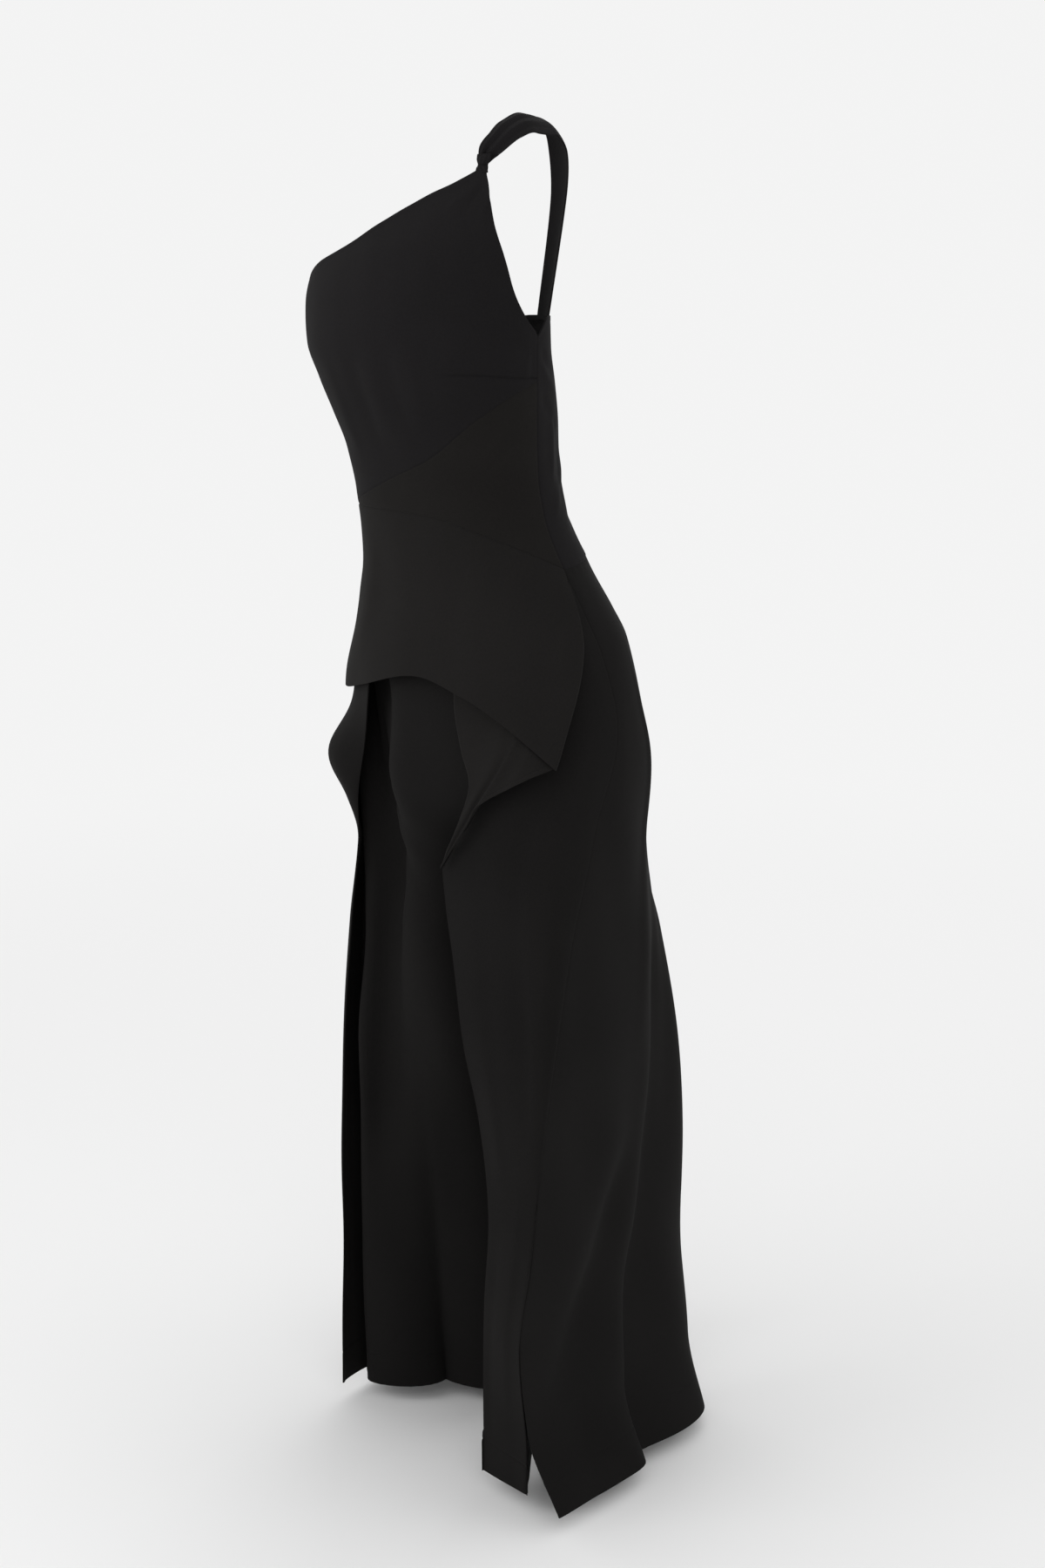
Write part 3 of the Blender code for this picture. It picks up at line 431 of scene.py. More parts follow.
def sheet_mesh(name, points, thickness):
    """A closed sheet of cloth: the grid's points outside, and inside by its thickness."""
    rows, columns = points.shape[:2]
    inner = points - normals(points) * np.broadcast_to(thickness, (rows, columns))[..., None]
    outer_ids = np.arange(rows * columns).reshape(rows, columns)
    shift = rows * columns
    inner_ids = outer_ids + shift

    def quads(ids):
        return np.stack([ids[:-1, :-1], ids[:-1, 1:], ids[1:, 1:], ids[1:, :-1]],
                        axis=-1).reshape(-1, 4)
    rim = np.concatenate([outer_ids[0, :-1], outer_ids[:-1, -1], outer_ids[-1, :0:-1],
                          outer_ids[:0:-1, 0]])
    following = np.roll(rim, -1)
    rim_quads = np.stack([following, rim, rim + shift, following + shift], axis=-1)
    faces = np.concatenate([quads(outer_ids), quads(inner_ids)[:, ::-1], rim_quads])
    vertices = np.concatenate([points.reshape(-1, 3), inner.reshape(-1, 3)]) - SHOULDER
    return smooth_mesh(name, vertices, faces.tolist())


def placed(name, data):
    """A new object in the scene."""
    obj = bpy.data.objects.new(name, data)
    bpy.context.scene.collection.objects.link(obj)
    return obj


def piece(name, mesh, material, nodes):
    """An object that rides on the garment's only body and stands for CAD nodes."""
    obj = placed(name, mesh)
    mesh.materials.append(material)
    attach(obj, "root")
    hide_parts(*nodes)
    return obj


def cloth(nodes, points, material, thickness, name=None):
    """A sheet of cloth, named after its first node where no name is given."""
    name = name or nodes[0] + "_cloth"
    obj = piece(name, sheet_mesh(name, points, thickness), material, nodes)


# ---- materials
def add_node(tree, kind, values=None, **settings):
    """A new shader node with its settings and with the values of its sockets."""
    node = tree.nodes.new(kind)
    for name, value in settings.items():
        setattr(node, name, value)
    set_values(node, values or {})
    return node


def set_values(node, values):
    for socket, value in values.items():
        node.inputs[socket].default_value = value


def noise(tree, place, scale, detail, roughness=0.5):
    texture = add_node(tree, "ShaderNodeTexNoise",
                       {"Scale": scale, "Detail": detail, "Roughness": roughness})
    tree.links.new(place, texture.inputs["Vector"])
    return texture.outputs["Fac"]


def mixed(tree, first, second, share):
    """Two numbers mixed; share is the second one's part."""
    node = add_node(tree, "ShaderNodeMix", {"Factor": share}, data_type="FLOAT")
    tree.links.new(first, node.inputs[2])
    tree.links.new(second, node.inputs[3])
    return node.outputs[0]


def crepe_material(name, dark, light):
    """Matt crepe: a fine pebbled weave, faint broad shading and a soft sheen."""
    material = bpy.data.materials.new(name)
    material.use_nodes = True
    tree = material.node_tree
    link = tree.links.new
    shader = tree.nodes["Principled BSDF"]
    set_values(shader, {"Metallic": 0.0, "Roughness": 0.86, "Specular IOR Level": 0.05,
                        "Sheen Weight": 0.01, "Sheen Roughness": 0.6,
                        "Sheen Tint": (0.8, 0.78, 0.76, 1.0)})
    place = add_node(tree, "ShaderNodeTexCoord").outputs["Object"]

    tone = mixed(tree, noise(tree, place, 7.0, 3.0), noise(tree, place, 520.0, 3.0, 0.65), 0.45)
    ramp = add_node(tree, "ShaderNodeValToRGB")
    for stop, position, color in zip(ramp.color_ramp.elements, (0.32, 0.68), (dark, light)):
        stop.position = position
        stop.color = (*color, 1.0)
    link(tone, ramp.inputs["Fac"])
    link(ramp.outputs["Color"], shader.inputs["Base Color"])

    # Crepe's pebbled face: crossed threads, crowded and twisted out of line.
    twist = add_node(tree, "ShaderNodeVectorMath", {1: (0.0016, 0.0016, 0.0016)},
                     operation="MULTIPLY_ADD")
    link(noise(tree, place, 180.0, 2.0), twist.inputs[0])
    link(place, twist.inputs[2])
    pebble = add_node(tree, "ShaderNodeTexVoronoi", {"Scale": 1500.0})
    link(twist.outputs[0], pebble.inputs["Vector"])
    threads = add_node(tree, "ShaderNodeTexWave",
                       {"Scale": 420.0, "Distortion": 2.5, "Detail": 1.0},
                       wave_type="BANDS", bands_direction="Z")
    link(place, threads.inputs["Vector"])
    bump = add_node(tree, "ShaderNodeBump", {"Strength": 0.35, "Distance": 0.00025})
    link(mixed(tree, pebble.outputs["Distance"], threads.outputs["Fac"], 0.35),
         bump.inputs["Height"])
    link(bump.outputs["Normal"], shader.inputs["Normal"])
    return material


CREPE_BODICE = crepe_material("crepe_bodice", (0.0076, 0.007, 0.0074), (0.0108, 0.01, 0.0106))
CREPE_WAIST = crepe_material("crepe_waist", (0.0084, 0.0077, 0.0073), (0.0118, 0.0109, 0.0103))
CREPE_SKIRT = crepe_material("crepe_skirt", (0.0085, 0.0079, 0.0076), (0.012, 0.0111, 0.0107))
# Painted shade: a darker copy of the crepe for the legs and long panels. Its colour stands in for
# the lower garment getting less light.
CREPE_LEG_PAINTED_SHADE = crepe_material("crepe_leg_painted_shade", (0.006, 0.0056, 0.0055), (0.0087, 0.0081, 0.0079))


# ---- bodice
def body_push(creases, angle, height, points, distance, seams):
    """Creases and unevenness of a piece on the body, calmed at its seams."""
    push = crease_push(creases, angle, height, math.radians(BODY_REACH))
    push += unevenness(points, 0.09, 0.0004, 2.0)
    return push * calm(distance, seams, 0.012)


def finish_body(node, material, points, distance, push, hems):
    """Gives a piece on the body its narrow hems and makes its cloth."""
    thickness = np.full(push.shape, CREPE)
    for edge in hems:
        thickness += edge_hem(distance[edge], BODICE_HEM)
        push -= 0.00025 * np.exp(-((distance[edge] - EDGE_HEM) / 0.001) ** 2)
    cloth([node], pushed(points, push), material, thickness)


def body_cloth(node, material, edges, creases, size, seams, hems=()):
    """A piece on the body form inside four edges, with its seams, creases and narrow hems."""
    width, length = size
    s, t = stops(int(width / GRID), width), stops(int(length / GRID), length)
    at = patch(*edges, s, t)
    angle, height = at[..., 0], at[..., 1]
    points = torso(angle, height)
    distance = edge_distances(points)
    push = body_push(creases, angle, height, points, distance, seams)
    for edge in seams:
        push += seam_push(distance, edge, len(node + "_cloth"))
    finish_body(node, material, points, distance, push, hems)


def upright(low, high, gap_side, angle=None):
    """A boundary that climbs at one angle, or along the left side seam."""
    def at(t):
        height = mix(low, high, t)
        turn = side_angle(height) if angle is None else angle
        return stack(gap_angle(turn, gap_side, height), height)
    return at


def level(height_at, first, last, shift):
    """A boundary that runs between two places at heights that depend on the angle."""
    def at(s):
        angle = mix(first[0, 0], last[0, 0], s)
        return stack(angle, height_at(angle) + shift)
    return at


def upper_height(angle):
    return lower_seam(angle) + wedge_tall(angle)


def dart_depth(angle, distance):
    """The bust dart: a stitched groove from the side seam that runs out towards the bust."""
    run_out = ease((angle - DART_POINT) / 14)
    swell = 0.0012 * ease((angle - 10) / 25) * ease((74 - angle) / 40)
    return (-0.0013 * run_out * np.exp(-(distance / 0.0012) ** 2)
            + swell * np.exp(-(distance / 0.016) ** 2))


def make_bodice_front():
    """Its rows run along the waist seam, the bust dart and the neckline."""
    s = stops(104, 0.38, (WEDGE_SHARE,))
    width = 0.26
    share = 0.32
    near = np.array([0.0004, 0.0009, 0.0015, 0.0024, 0.004]) / width
    t = stops(74, width, tuple(share + near) + tuple(share - near) + (share,))
    across, up = np.meshgrid(s, t)
    below = np.minimum(up / share, 1)
    above = np.maximum((up - share) / (1 - share), 0)
    first = gap_angle(-90, 1, 0.0)
    height = mix(1.1, 1.3, up)
    for _ in range(12):
        last = gap_angle(np.minimum(side_angle(height), front_left_edge(height)), -1, 0.0)
        angle = seam_angle(first, last, across)
        low = upper_height(angle) + SEAM_GAP / 2
        dart = np.maximum(dart_line(angle), low + 0.0015)
        height = mix(mix(low, dart, below), np.maximum(neckline_at(angle), dart), above)
    points = torso(angle, height)
    distance = edge_distances(points)
    push = body_push(BODICE_CREASES, angle, height, points, distance, ("low", "start"))
    push += dart_depth(angle, height - dart)
    push += seam_push(distance, "low", 1.0)
    push += seam_push(distance, "start", 2.0)
    finish_body("bodice_front", CREPE_BODICE, points, distance, push, ("high", "end"))


def make_wedge_and_back():
    """The waist wedge and the two halves of the back bodice."""
    half = SEAM_GAP / 2
    bottom, top = np.array([0.0]), np.array([1.0])

    first = upright(lower_seam(WEDGE_TIP) + half, upper_height(WEDGE_TIP) - half, 0, WEDGE_TIP)
    last = upright(WAIST_LEFT + half, WEDGE_SIDE - half, -1)
    edges = (level(lower_seam, first(bottom), last(bottom), half),
             level(upper_height, first(top), last(top), -half), first, last)
    body_cloth("waist_wedge", CREPE_WAIST, edges, WEDGE_CREASES, (0.27, 0.14),
               ("low", "high", "end"))

    centre, centre_top = back_waist(180) + half, back_top(180)
    for node, width, first, last in (
            ("bodice_back_left", 0.19, upright(WAIST_LEFT + half, BACK_LEFT, 1),
             upright(centre, centre_top, -1, 180)),
            ("bodice_back_right", 0.18, upright(centre, centre_top, 1, 180),
             upright(WAIST_RIGHT + half, BACK_RIGHT, -1, 270))):
        edges = (level(back_waist, first(bottom), last(bottom), half),
                 level(back_top, first(top), last(top), 0.0), first, last)
        body_cloth(node, CREPE_BODICE, edges, BACK_CREASES, (width, 0.23),
                   ("low", "start", "end"), ("high",))


# ---- overlay
def space_curve(records):
    """A curve through space, for shares of its length."""
    at = curves(records, "along")
    return lambda t: stack(at["x"](t), at["y"](t), at["height"](t))


def turned_back(edge, outward, onward, radius, count):
    """Columns of points round a half circle, from an edge back under itself."""
    columns = []
    for step in range(1, count + 1):
        turn = math.pi * step / count
        columns.append(edge + onward * radius * math.sin(turn)
                       - outward * radius * (1 - math.cos(turn)))
    return np.stack(columns, axis=1)


def overlay_front_points(s, t):
    """From the waist seam (t = 1) to the pointed hem (t = 0)."""
    across, fall = np.meshgrid(s, 1 - t)
    angle_top = seam_angle(gap_angle(-90, 1, 0.0), gap_angle(90, -1, 0.0), across)
    angle_low = mix(OVERLAY_RIGHT_END, OVERLAY_LEFT_END, across)
    hem_height = overlay_hem["height"](angle_low)
    hem_lift = overlay_hem["lift"](angle_low)
    height = mix(lower_seam(angle_top) - SEAM_GAP / 2, hem_height, fall)
    angle = mix(angle_top, angle_low, fall)
    fold_height = mix(WAIST_LEFT, TIP_HEIGHT, fall)
    to_fold = curve(LEFT_FOLD, "angle")(fold_height) - mix(90, OVERLAY_LEFT_END, fall)
    angle = angle + to_fold * ease((across - 0.8) / 0.2)
    return angle, height, torso(angle, height, hem_lift * fall ** OVERLAY_FLARE), fall


def on_body(points):
    """The angle round the body of points near it, and how far outside it they are."""
    x, y, height = points[..., 0], points[..., 1], points[..., 2]
    width, centre = torso_at["width"](height), torso_at["centre"](height)
    lift = np.zeros(x.shape)
    for _ in range(8):
        depth = np.where(y < centre, torso_at["front"](height), torso_at["back"](height))
        turn = np.arctan2(x / (width + lift), (centre - y) / (depth + lift))
        radius = width * np.sin(turn) ** 2 + depth * np.cos(turn) ** 2
        lift = x * np.sin(turn) + (centre - y) * np.cos(turn) - radius
    return np.degrees(turn), lift


def overlay_lift(angle, height):
    """How far the front overlay stands off the body, and its share of the way to the hem."""
    across = (angle + 90) / 170
    for _ in range(12):
        across = np.clip(across, 0, 1)
        angle_top = seam_angle(-90.0, 90.0, across)
        angle_low = mix(OVERLAY_RIGHT_END, OVERLAY_LEFT_END, across)
        top = lower_seam(angle_top)
        fall = (top - height) / (top - overlay_hem["height"](angle_low))
        across = across + (angle - mix(angle_top, angle_low, np.clip(fall, 0, 1.3))) / 220
    return overlay_hem["lift"](angle_low) * np.maximum(fall, 0) ** OVERLAY_FLARE, fall


def keep_under_overlay(points):
    """Moves the returning layer's points in where they would stand outside the overlay."""
    angle, lift = on_body(points)
    limit, fall = overlay_lift(angle, points[..., 2])
    limit = limit - 0.001 - 0.004 * ease(fall / 0.5) + 0.35 * np.maximum(fall - 1.0, 0)
    limit = np.maximum(limit, 0.0006)
    soft = 0.0012
    lift = -soft * np.logaddexp(-lift / soft, -limit / soft)
    return torso(angle, points[..., 2], lift)


def make_overlay_front():
    """The front overlay, its left fold and the cascade that returns from it, in one cloth."""
    s = stops(120, 0.44)
    t = stops(60, 0.17)
    angle, height, front, fall = overlay_front_points(s, t)
    distance = edge_distances(front)
    push = crease_push(OVERLAY_CREASES, angle, height, math.radians(OVERLAY_REACH))
    push += unevenness(front, 0.13, 0.0009, 3.0)
    push *= calm(distance, ("high", "start", "end"))
    push += seam_push(distance, "high", 1.0)
    push += seam_push(distance, "start", 2.0)
    push *= ease(distance["end"] / 0.02)
    front = pushed(front, push)

    outward = normals(front)[:, -1]
    onward = unit(front[:, -1] - front[:, -4])
    radius = mix(FOLD_TOP_RADIUS, FOLD_RADIUS, ease(fall[:, -1:] / 0.4))
    left_fold = turned_back(front[:, -1], outward, onward, radius, 9)

    start = left_fold[:, -1]
    free_edge, inner_fold = space_curve(CASCADE_EDGE), space_curve(INNER_FOLD)

    def outer_side(v):
        return np.stack([np.interp(v, t, start[:, k]) for k in range(3)], axis=-1)

    tip_shift = outer_side(np.array([0.0]))[0] - free_edge(0.0)

    def low(w):
        return free_edge(w) + tip_shift * ((1 - w) ** 4)[:, None]

    def high(w):
        lift = mix(-0.0008, CASCADE_LIFT, ease(w / 0.8))
        return torso(mix(90, 24, w), mix(WAIST_LEFT, CASCADE_TOP, ease(w * 1.1)), lift)

    w = stops(50, 0.16)[1:]
    returning = patch(low, high, outer_side, inner_fold, w, t)
    w_grid, t_grid = np.meshgrid(w, t)
    folds = crease_push(CASCADE_CREASES, w_grid, t_grid, 1.0)
    returning[..., 1] -= folds + 0.002 * np.sin(math.pi * w_grid) * np.sin(math.pi * t_grid)
    held = keep_under_overlay(returning)
    returning = mix(returning, held, ease(w_grid / 0.06)[..., None])
    turning_in = normals(returning)[:, -1]
    onward = unit(returning[:, -1] - returning[:, -4])
    radius = 0.0006 + 0.0016 * ease(t[:, None] / 0.15)
    inner = turned_back(returning[:, -1], -turning_in, onward, radius, 7)
    tail = np.stack([inner[:, -1] - onward * reach
                     for reach in (0.002, 0.006, 0.011, 0.017, 0.023)], axis=1)

    points = np.concatenate([front, left_fold, returning, inner, tail], axis=1)
    low_distance = edge_distances(points)["low"]
    thickness = CREPE + edge_hem(low_distance, OVERLAY_HEM_CLOTH)
    cloth(["overlay_front", "cascade_left"], points, CREPE_SKIRT, thickness)


# Across and up are shares of the returning layer here, from its outer fold and its free edge, and
# width is in thousandths of them.
CASCADE_CREASES = table(CREASE_COLUMNS, [
    (1.22, -0.12, 0.5, 0.8, 70, 2.2, 0), (0.4, -0.2, 0.2, 0.8, 80, -1.6, 0)])


def panel_points(records, leg, s, t, waist=None):
    """Points of a long overlay panel, from its free edge to the side seam."""
    panel, leg_at = curves(records), curves(leg)
    across, up = np.meshgrid(s, t)
    height = mix(HEM, PANEL_TOP, np.minimum(up, 1.0))
    if waist:
        share = 0.06 + 0.94 * np.maximum((across - 0.55) / 0.45, 0) ** 2.2
        height = height + (waist - PANEL_TOP) * share * np.maximum(up - 1, 0) / (t[-1] - 1)
    free_x, free_y = panel["edge_x"](height), panel["edge_y"](height)
    seam_x, seam_y = leg_at["seam_x"](height), leg_at["seam_y"](height)
    share = ease((height - CROTCH) / (RISE_START - CROTCH))
    first = np.degrees(np.arcsin(np.minimum(free_x / (torso_at["width"](height) + PANEL_LIFT), 1)))
    turn, power = math.pi / 2 * across, panel["round"](height)
    x = free_x + (seam_x - free_x) * np.sin(turn) ** power
    y = seam_y + (free_y - seam_y) * np.maximum(np.cos(turn), 0) ** power
    bulge = panel["bulge"](height) * np.sin(math.pi * across)
    low = stack(x + 0.45 * bulge, y - 0.89 * bulge, height)
    lift = mix(PANEL_LIFT, 0.0, ease((across - 0.75) / 0.25))
    hip = torso(mix(first, 90, across), height, lift)
    points = mix(low, hip, share[..., None])
    points[..., 1] -= SEAM_GAP / 2 * ease((across - 0.9) / 0.1)
    return across, height, points


def rows_up(above=()):
    """Shares up a leg or a long panel, closer at the hem and its stitches, and some above 1."""
    near = [0.0007, 0.0014, 0.003, 0.005, 0.038, 0.0395, 0.041, 0.0425, 0.044, 0.0455, 0.047]
    return np.concatenate([np.unique(np.concatenate([np.linspace(0, 1, 190), near])), above])


def leg_cloth(node, points, thickness, flip):
    """The cloth of a piece on the legs; one on the right is worked out as if on the left."""
    if flip:
        points = points[:, ::-1] * np.array([-1.0, 1.0, 1.0])
        thickness = thickness[:, ::-1]
    # The legs and long panels get the darker crepe with painted shade.
    cloth([node], points, CREPE_LEG_PAINTED_SHADE, thickness)


def make_long_panel(node, records, leg, creases, flip, waist=None):
    """A long overlay panel with its hem, free edge and creases."""
    s = stops(44, PANEL_WIDTH)
    t = rows_up(np.linspace(1, 1.1, 14)[1:] if waist else ())
    across, height, points = panel_points(records, leg, s, t, waist)
    distance = edge_distances(points)
    push = crease_push(creases, across, height, PANEL_WIDTH)
    push += unevenness(points, 0.16, 0.001, 5.0)
    push *= calm(distance, ("end",))
    push += LEG_SEAM * seam_push(distance, "end", 3.0)
    push += hem_line(points, distance["low"])
    thickness = CREPE + edge_hem(distance["start"], OVERLAY_HEM_CLOTH)
    thickness = thickness + leg_hem(distance["low"])
    leg_cloth(node, pushed(points, push), thickness, flip)


def hem_line(points, low):
    """The hem's stitch line: a faint dented row, deeper at each stitch."""
    along = np.cumsum(np.linalg.norm(np.gradient(points, axis=1), axis=-1), axis=1)
    stitch = 0.75 + 0.25 * np.cos(along * 2 * math.pi / HEM_STITCH)
    return -0.00055 * stitch * np.exp(-((low - HEM_DEPTH) / 0.0014) ** 2)


LEFT_PANEL_CREASES = table(CREASE_COLUMNS, [
    (0.1, 0.72, 0.3, 0.34, 12, 1.8, 6), (0.42, 0.86, 0.6, 0.4, 14, -2.2, 8),
    (0.7, 0.93, 0.78, 0.5, 12, 1.8, 6), (0.55, 0.4, 0.5, 0.05, 13, 1, 4),
    (0.26, 0.36, 0.22, 0.03, 12, -0.9, 3)])
RIGHT_PANEL_CREASES = table(CREASE_COLUMNS, [
    (0.3, 0.84, 0.5, 0.5, 12, -2, 6), (0.6, 0.7, 0.66, 0.2, 12, 2, 6),
    (0.4, 0.45, 0.36, 0.05, 10, -1.6, 4)])


# ---- trouser legs
def fold_push(folds, place, height):
    push = np.zeros(place.shape)
    for fold in folds:
        down = np.clip((fold["top"] - height) / fold["top"], 0, 1)
        centre = mix(fold["place_top"], fold["place_hem"], down)
        depth = mix(fold["depth_mid"], fold["depth_hem"], down) * ease(down * 4)
        push += depth * np.exp(-((place - centre) / fold["width"]) ** 2)
    return push


def leg_points(leg, folds, s, t, back, flip):
    """Points of a leg panel; s is 0 at the inseam and 1 at the side seam."""
    leg_at = curves(leg)
    place, up = np.meshgrid(s, t)
    angle = mix(180, 90, place) if back else mix(0, 90, place)
    shift = 0.0 * place
    if back:
        waist = back_waist(360 - angle if flip else angle) - SEAM_GAP / 2
    else:
        waist = lower_seam(-angle if flip else angle) - 0.006
    height = mix(HEM, PANEL_TOP, np.minimum(up, 1.0))
    height = height + (waist - PANEL_TOP) * np.maximum(up - 1, 0) / (t[-1] - 1)
    near_waist = ease((height - UNDER_START) / (waist - UNDER_START))
    lift = 0.0 * height if back else mix(UNDER_LIFT, WAIST_LIFT, near_waist)
    if not back:
        shift = curve(FRONT_SEAM, "angle")(height) * (1 - place) ** 2 * (-1 if flip else 1)
    hip = torso(angle + shift, height, lift)

    prefix, sign = ("slit", 1.0) if back else ("seam", -1.0)
    seam_x, seam_y = leg_at[prefix + "_x"](height), leg_at[prefix + "_y"](height)
    in_x, in_y = leg_at["inseam_x"](height), leg_at["inseam_y"](height)
    in_x = in_x * (1 - ease((height - FRONT_CROTCH) / 0.05 + 1))
    turn = math.pi * place
    depth = leg_at["back" if back else "front"](height)
    x = mix(in_x, seam_x, (1 - np.cos(turn)) / 2)
    y = mix(in_y, seam_y, (1 - np.cos(turn)) / 2)
    y = y + sign * depth * np.maximum(np.sin(turn), 0) ** 0.9
    out_x, out_y = x - (in_x + seam_x) / 2, y - (in_y + seam_y) / 2
    reach = np.maximum(np.hypot(out_x, out_y), 1e-9)
    push = fold_push(folds, place, height)
    low = stack(x + out_x / reach * push, y + out_y / reach * push, height)
    aside = 1.0 if back else ease((place - 0.28) / 0.3)
    crotch, rise_start = mix(FRONT_CROTCH, CROTCH, aside), mix(FRONT_RISE, RISE_START, aside)
    risen = ease((height - crotch) / (rise_start - crotch))
    points = mix(low, hip, risen[..., None])
    if back:
        points[..., 1] += SEAM_GAP / 2 * ease((place - 0.97) / 0.03)
    else:
        inset = SIDE_INSET * ease((place - 0.55) / 0.4)
        points[..., 0] -= inset
        points[..., 1] += inset
    room = SEAM_GAP / 2 * (height < RISE_START) * ease((0.03 - place) / 0.03)
    points[..., 1] += room if back else -room
    if back:
        points[..., 0] = np.maximum(points[..., 0], CENTRE_INSET)
    return place + shift / 90 * risen, height, points


def make_leg(node, leg, folds, creases, back, flip):
    """The front or the back of a trouser leg, from its hem to the waist."""
    width = BACK_WIDTH if back else FRONT_WIDTH
    s = stops(int(width / LEG_GRID), width)
    t = rows_up([*np.linspace(1, 1.1, 20)[1:-1], 1.0975, 1.0985, 1.0993, 1.1])
    place, height, points = leg_points(leg, folds, s, t, back, flip)
    distance = edge_distances(points)
    push = crease_push(creases, place, height, width)
    push += unevenness(points, 0.15, 0.0011, len(node + "_cloth"))
    push *= calm(distance, ("start", "end"))
    for edge in ("start", "end") if back else ("end",):
        push += LEG_SEAM * seam_push(distance, edge, 4.0)
    if back:
        push += seam_push(distance, "high", 5.0)
    push += hem_line(points, distance["low"])
    thickness = CREPE + leg_hem(distance["low"])
    points = pushed(points, -push if back else push)
    if back:
        points[height[:, 0] > FRONT_CROTCH, 0, 0] = CENTRE_INSET
        points, thickness = points[:, ::-1], thickness[:, ::-1]
    leg_cloth(node, points, thickness, flip)


LEFT_BACK_CREASES = table(CREASE_COLUMNS, [
    (0.78, 0.42, 0.985, 0.06, 15, -4.5, 0),   # the diagonal trough to the slit
    (0.58, 0.9, 0.66, 0.3, 11, -2.6, 10),
    (0.72, 0.95, 0.8, 0.45, 12, 2.4, 8),
    (0.48, 0.86, 0.5, 0.2, 12, 2.6, 10),
    (0.3, 0.8, 0.3, 0.1, 14, -2.8, 8),
    (0.12, 0.72, 0.1, 0.1, 14, 2.4, 8),
    (0.4, 0.3, 0.46, 0.03, 10, -3, 4)])
RIGHT_BACK_CREASES = table(CREASE_COLUMNS, [
    (0.82, 0.92, 0.72, 0.3, 12, -2.4, 10), (0.66, 0.86, 0.58, 0.2, 12, 2.6, 8),
    (0.5, 0.8, 0.48, 0.1, 12, -2.6, 10), (0.34, 0.76, 0.3, 0.1, 13, 2.4, 8),
    (0.14, 0.7, 0.12, 0.1, 14, -2.2, 8)])
LEFT_FRONT_CREASES = table(CREASE_COLUMNS, [
    (0.3, 0.8, 0.36, 0.1, 14, 2, 6)])
RIGHT_FRONT_CREASES = table(CREASE_COLUMNS, [
    (0.48, 1.14, 0.58, 0.16, 20, -18, 0),   # the recess beside the long panel
    (0.24, 1.04, 0.54, 0.54, 14, -14, 0),
    (0.25, 0.92, 0.27, 0.7, 18, -15, 0),
    (0.2, 0.9, 0.24, 0.34, 42, 15, 0),
    (0.36, 0.5, 0.32, 0.06, 13, 1.6, 6),
    (0.6, 0.6, 0.62, 0.05, 14, -2, 6)])


# ---- strap
def make_strap():
    """The folded strap from the pinch over the shoulder to the back bodice."""
    at = curves(STRAP, "along")
    along = np.linspace(0, 1, 110)
    s = np.linspace(-0.5, 0.5, 33)
    centre = space_curve(STRAP)(along)
    run = unit(np.gradient(centre, axis=0))
    across = stack(at["across_x"](along), at["across_y"](along), at["across_z"](along))
    across = unit(across - run * np.sum(across * run, axis=-1, keepdims=True))
    up = np.cross(across, run)
    width, crown = at["width"](along)[:, None], at["crown"](along)[:, None]
    rise = crown * (1 - (2 * s[None, :]) ** 2)
    front = ease((0.62 - along) / 0.4)[:, None]
    drift = 0.05 * np.sin(along * 7)[:, None]
    for place, depth, spread in ((-0.28, 0.0013, 0.07), (-0.08, -0.0012, 0.06),
                                 (0.12, 0.0012, 0.07), (0.3, -0.001, 0.06)):
        rise = rise + depth * front * np.exp(-((s[None, :] - place - drift) / spread) ** 2)
    points = (centre[:, None] + across[:, None] * (width * s[None, :])[..., None]
              + up[:, None] * rise[..., None])
    cloth(["strap_shoulder"], points, CREPE_BODICE, STRAP_CLOTH,
          name="strap_cloth")


def make_pinch():
    """The pinch: cloth gathered from the bodice's corner into a bound waist, then the strap."""
    at = curves(PINCH, "along")
    rings, around = 46, 72
    along = np.linspace(0, 1, rings)[:, None]
    turn = np.linspace(0, 2 * math.pi, around, endpoint=False)[None, :]
    binding = np.exp(-((along - 0.5) / 0.1) ** 2)
    gathers = (1 - binding) * (0.07 * np.cos(9 * turn + 2.2 * along) + 0.04 * np.cos(5 * turn + 1))
    cord = 0.05 * binding * np.cos(2 * math.pi * (along - 0.5) / 0.075)
    reach = 1 + gathers + cord
    x = at["x"](along) + at["wide"](along) * reach * np.cos(turn)
    y = at["y"](along) + at["deep"](along) * reach * np.sin(turn)
    points = stack(x, y, at["height"](along)) - SHOULDER
    ids = np.arange(rings * around).reshape(rings, around)
    following = np.roll(ids, -1, axis=1)
    faces = np.stack([ids[:-1], following[:-1], following[1:], ids[1:]], axis=-1).reshape(-1, 4)
    ends = [ids[0, ::-1].tolist(), ids[-1].tolist()]
    mesh = smooth_mesh("pinch_gathers", points, faces.tolist() + ends)
    piece("pinch_gathers", mesh, CREPE_BODICE, ["strap_pinch"])


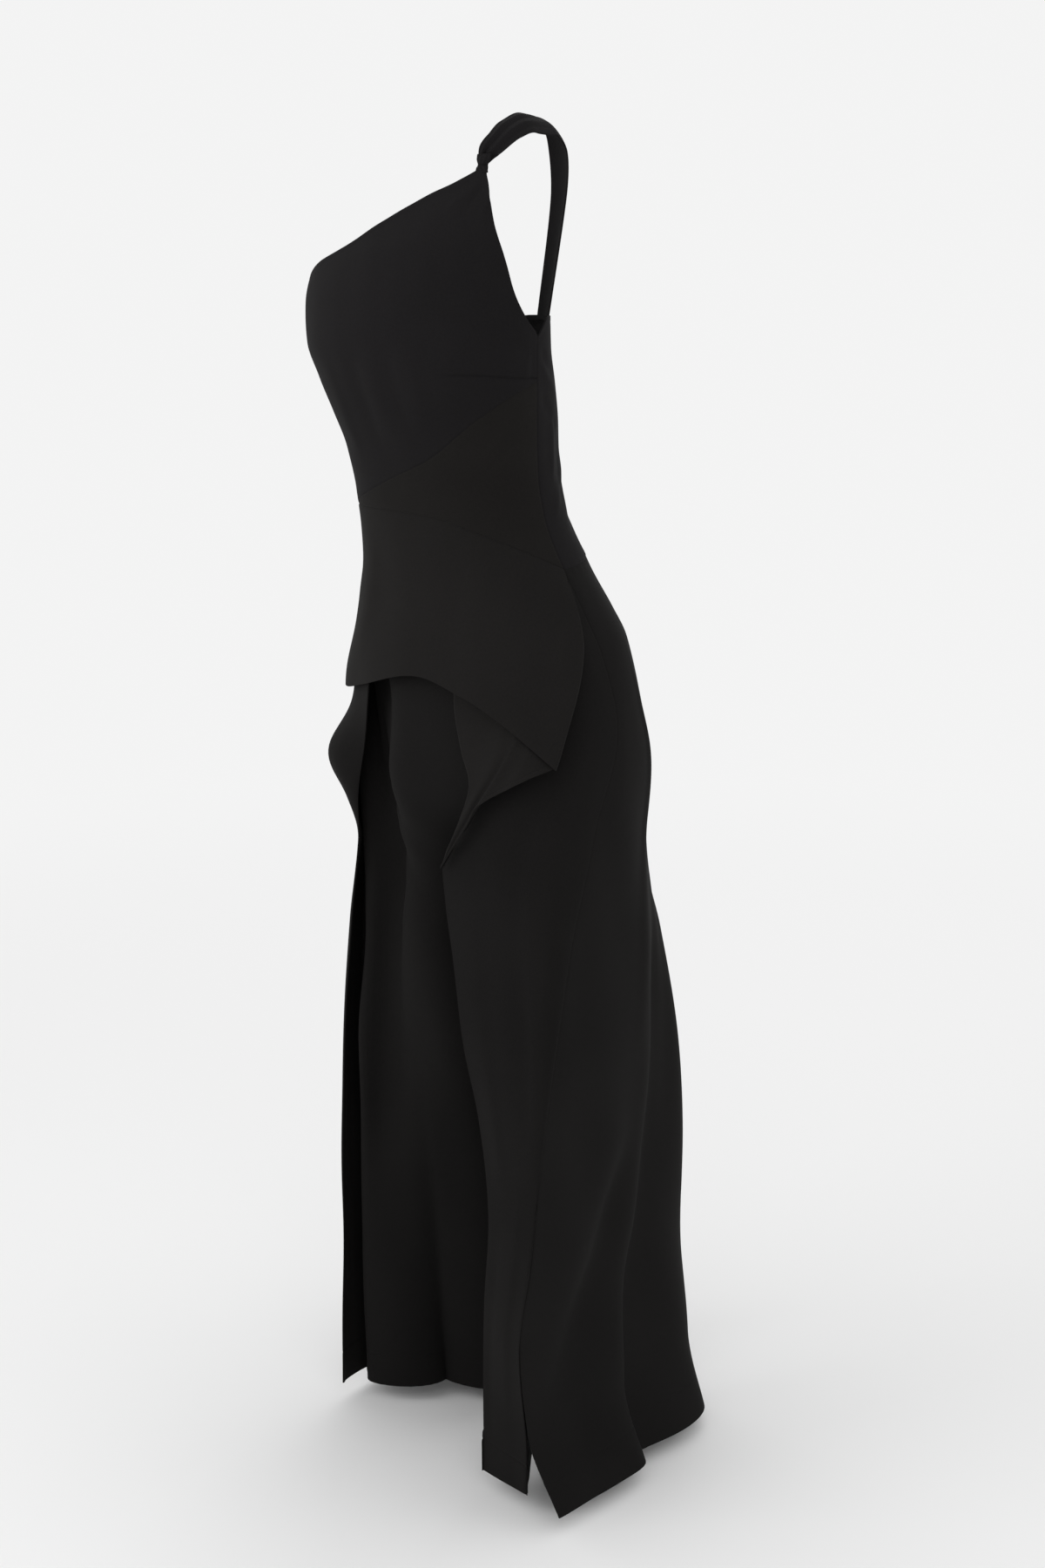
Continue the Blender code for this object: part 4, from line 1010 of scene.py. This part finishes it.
# ---- the stage
def make_floor():
    """A pale floor all round that brightens into the white studio, so that no horizon shows."""
    around = 96
    radii = (0.0, 1.0, 2.0, 4.0, 8.0, 60.0)
    vertices = [(radius * math.cos(2 * math.pi * k / around),
                 radius * math.sin(2 * math.pi * k / around), 0.0)
                for radius in radii[1:] for k in range(around)] + [(0.0, 0.0, 0.0)]
    centre = len(vertices) - 1
    faces = [(centre, k, (k + 1) % around) for k in range(around)]
    for ring in range(len(radii) - 2):
        for k in range(around):
            near, next_near = ring * around + k, ring * around + (k + 1) % around
            faces.append((near, near + around, next_near + around, next_near))
    floor = bpy.data.meshes.new("floor")
    floor.from_pydata(vertices, [], faces)
    material = bpy.data.materials.new("floor_paper")
    material.use_nodes = True
    tree = material.node_tree
    link = tree.links.new
    paper = tree.nodes["Principled BSDF"]
    set_values(paper, {"Base Color": (0.86, 0.86, 0.86, 1.0), "Roughness": 0.9})
    glow = add_node(tree, "ShaderNodeEmission",
                    {"Color": (1.0, 1.0, 1.0, 1.0), "Strength": STUDIO_WHITE})
    distance = add_node(tree, "ShaderNodeVectorMath", operation="LENGTH")
    link(add_node(tree, "ShaderNodeTexCoord").outputs["Object"], distance.inputs[0])
    share = add_node(tree, "ShaderNodeMapRange", {"From Min": 0.7, "From Max": 3.5},
                     interpolation_type="SMOOTHSTEP")
    link(distance.outputs["Value"], share.inputs["Value"])
    blend = add_node(tree, "ShaderNodeMixShader")
    link(share.outputs["Result"], blend.inputs["Fac"])
    link(paper.outputs["BSDF"], blend.inputs[1])
    link(glow.outputs["Emission"], blend.inputs[2])
    link(blend.outputs["Shader"], tree.nodes["Material Output"].inputs["Surface"])
    floor.materials.append(material)
    ground = placed("floor", floor)
    ground.location.z = -SHOULDER[2] - 0.001


def make_light(name, place, size, power, target_z):
    """A large soft square lamp that faces the garment at the target's height."""
    lamp = bpy.data.lights.new(name, "AREA")
    lamp.shape = "RECTANGLE"
    lamp.size = lamp.size_y = size
    lamp.energy = power
    light = placed(name, lamp)
    light.location = place
    towards = Vector((0.0, 0.0, target_z)) - Vector(place)
    light.rotation_euler = towards.to_track_quat("-Z", "Y").to_euler()
    light.visible_camera = False


def make_camera():
    camera = bpy.data.cameras.new("camera")
    camera.lens = 50.0
    camera.sensor_fit = "VERTICAL"
    camera.sensor_height = 36.0
    seen_from = placed("camera", camera)
    seen_from.location = (1.5632, -1.4141, -0.1377)
    seen_from.rotation_euler = (math.radians(CAMERA_TILT), 0.0, math.radians(CAMERA_TURN))
    bpy.context.scene.camera = seen_from


def make_world():
    world = bpy.data.worlds.new("studio")
    bpy.context.scene.world = world
    world.use_nodes = True
    set_values(world.node_tree.nodes["Background"],
               {"Color": (1.0, 1.0, 1.0, 1.0), "Strength": STUDIO_WHITE})


make_bodice_front()
make_wedge_and_back()
make_overlay_front()
make_long_panel("overlay_left", LEFT_PANEL, LEFT_LEG, LEFT_PANEL_CREASES, False, LEFT_PANEL_WAIST)
make_long_panel("overlay_right", RIGHT_PANEL, RIGHT_LEG, RIGHT_PANEL_CREASES, True)
make_leg("leg_left_front", LEFT_LEG, LEFT_FRONT_FOLDS, LEFT_FRONT_CREASES, False, False)
make_leg("leg_left_back", LEFT_LEG, LEFT_BACK_FOLDS, LEFT_BACK_CREASES, True, False)
make_leg("leg_right_front", RIGHT_LEG, RIGHT_FRONT_FOLDS, RIGHT_FRONT_CREASES, False, True)
make_leg("leg_right_back", RIGHT_LEG, RIGHT_BACK_FOLDS, RIGHT_BACK_CREASES, True, True)
make_strap()
make_pinch()

make_floor()
make_light("key", (-0.6, -1.35, 0.0), 0.9, 6.0, -0.5)
make_light("fill", (1.3, -1.1, 0.1), 1.0, 3.0, -0.5)
make_light("side", (2.0, 1.4, 0.9), 1.4, 4.0, -0.4)
make_light("back", (-1.4, 2.0, 1.0), 1.6, 7.0, -0.4)
make_camera()
make_world()
bpy.context.scene.view_settings.view_transform = "Standard"
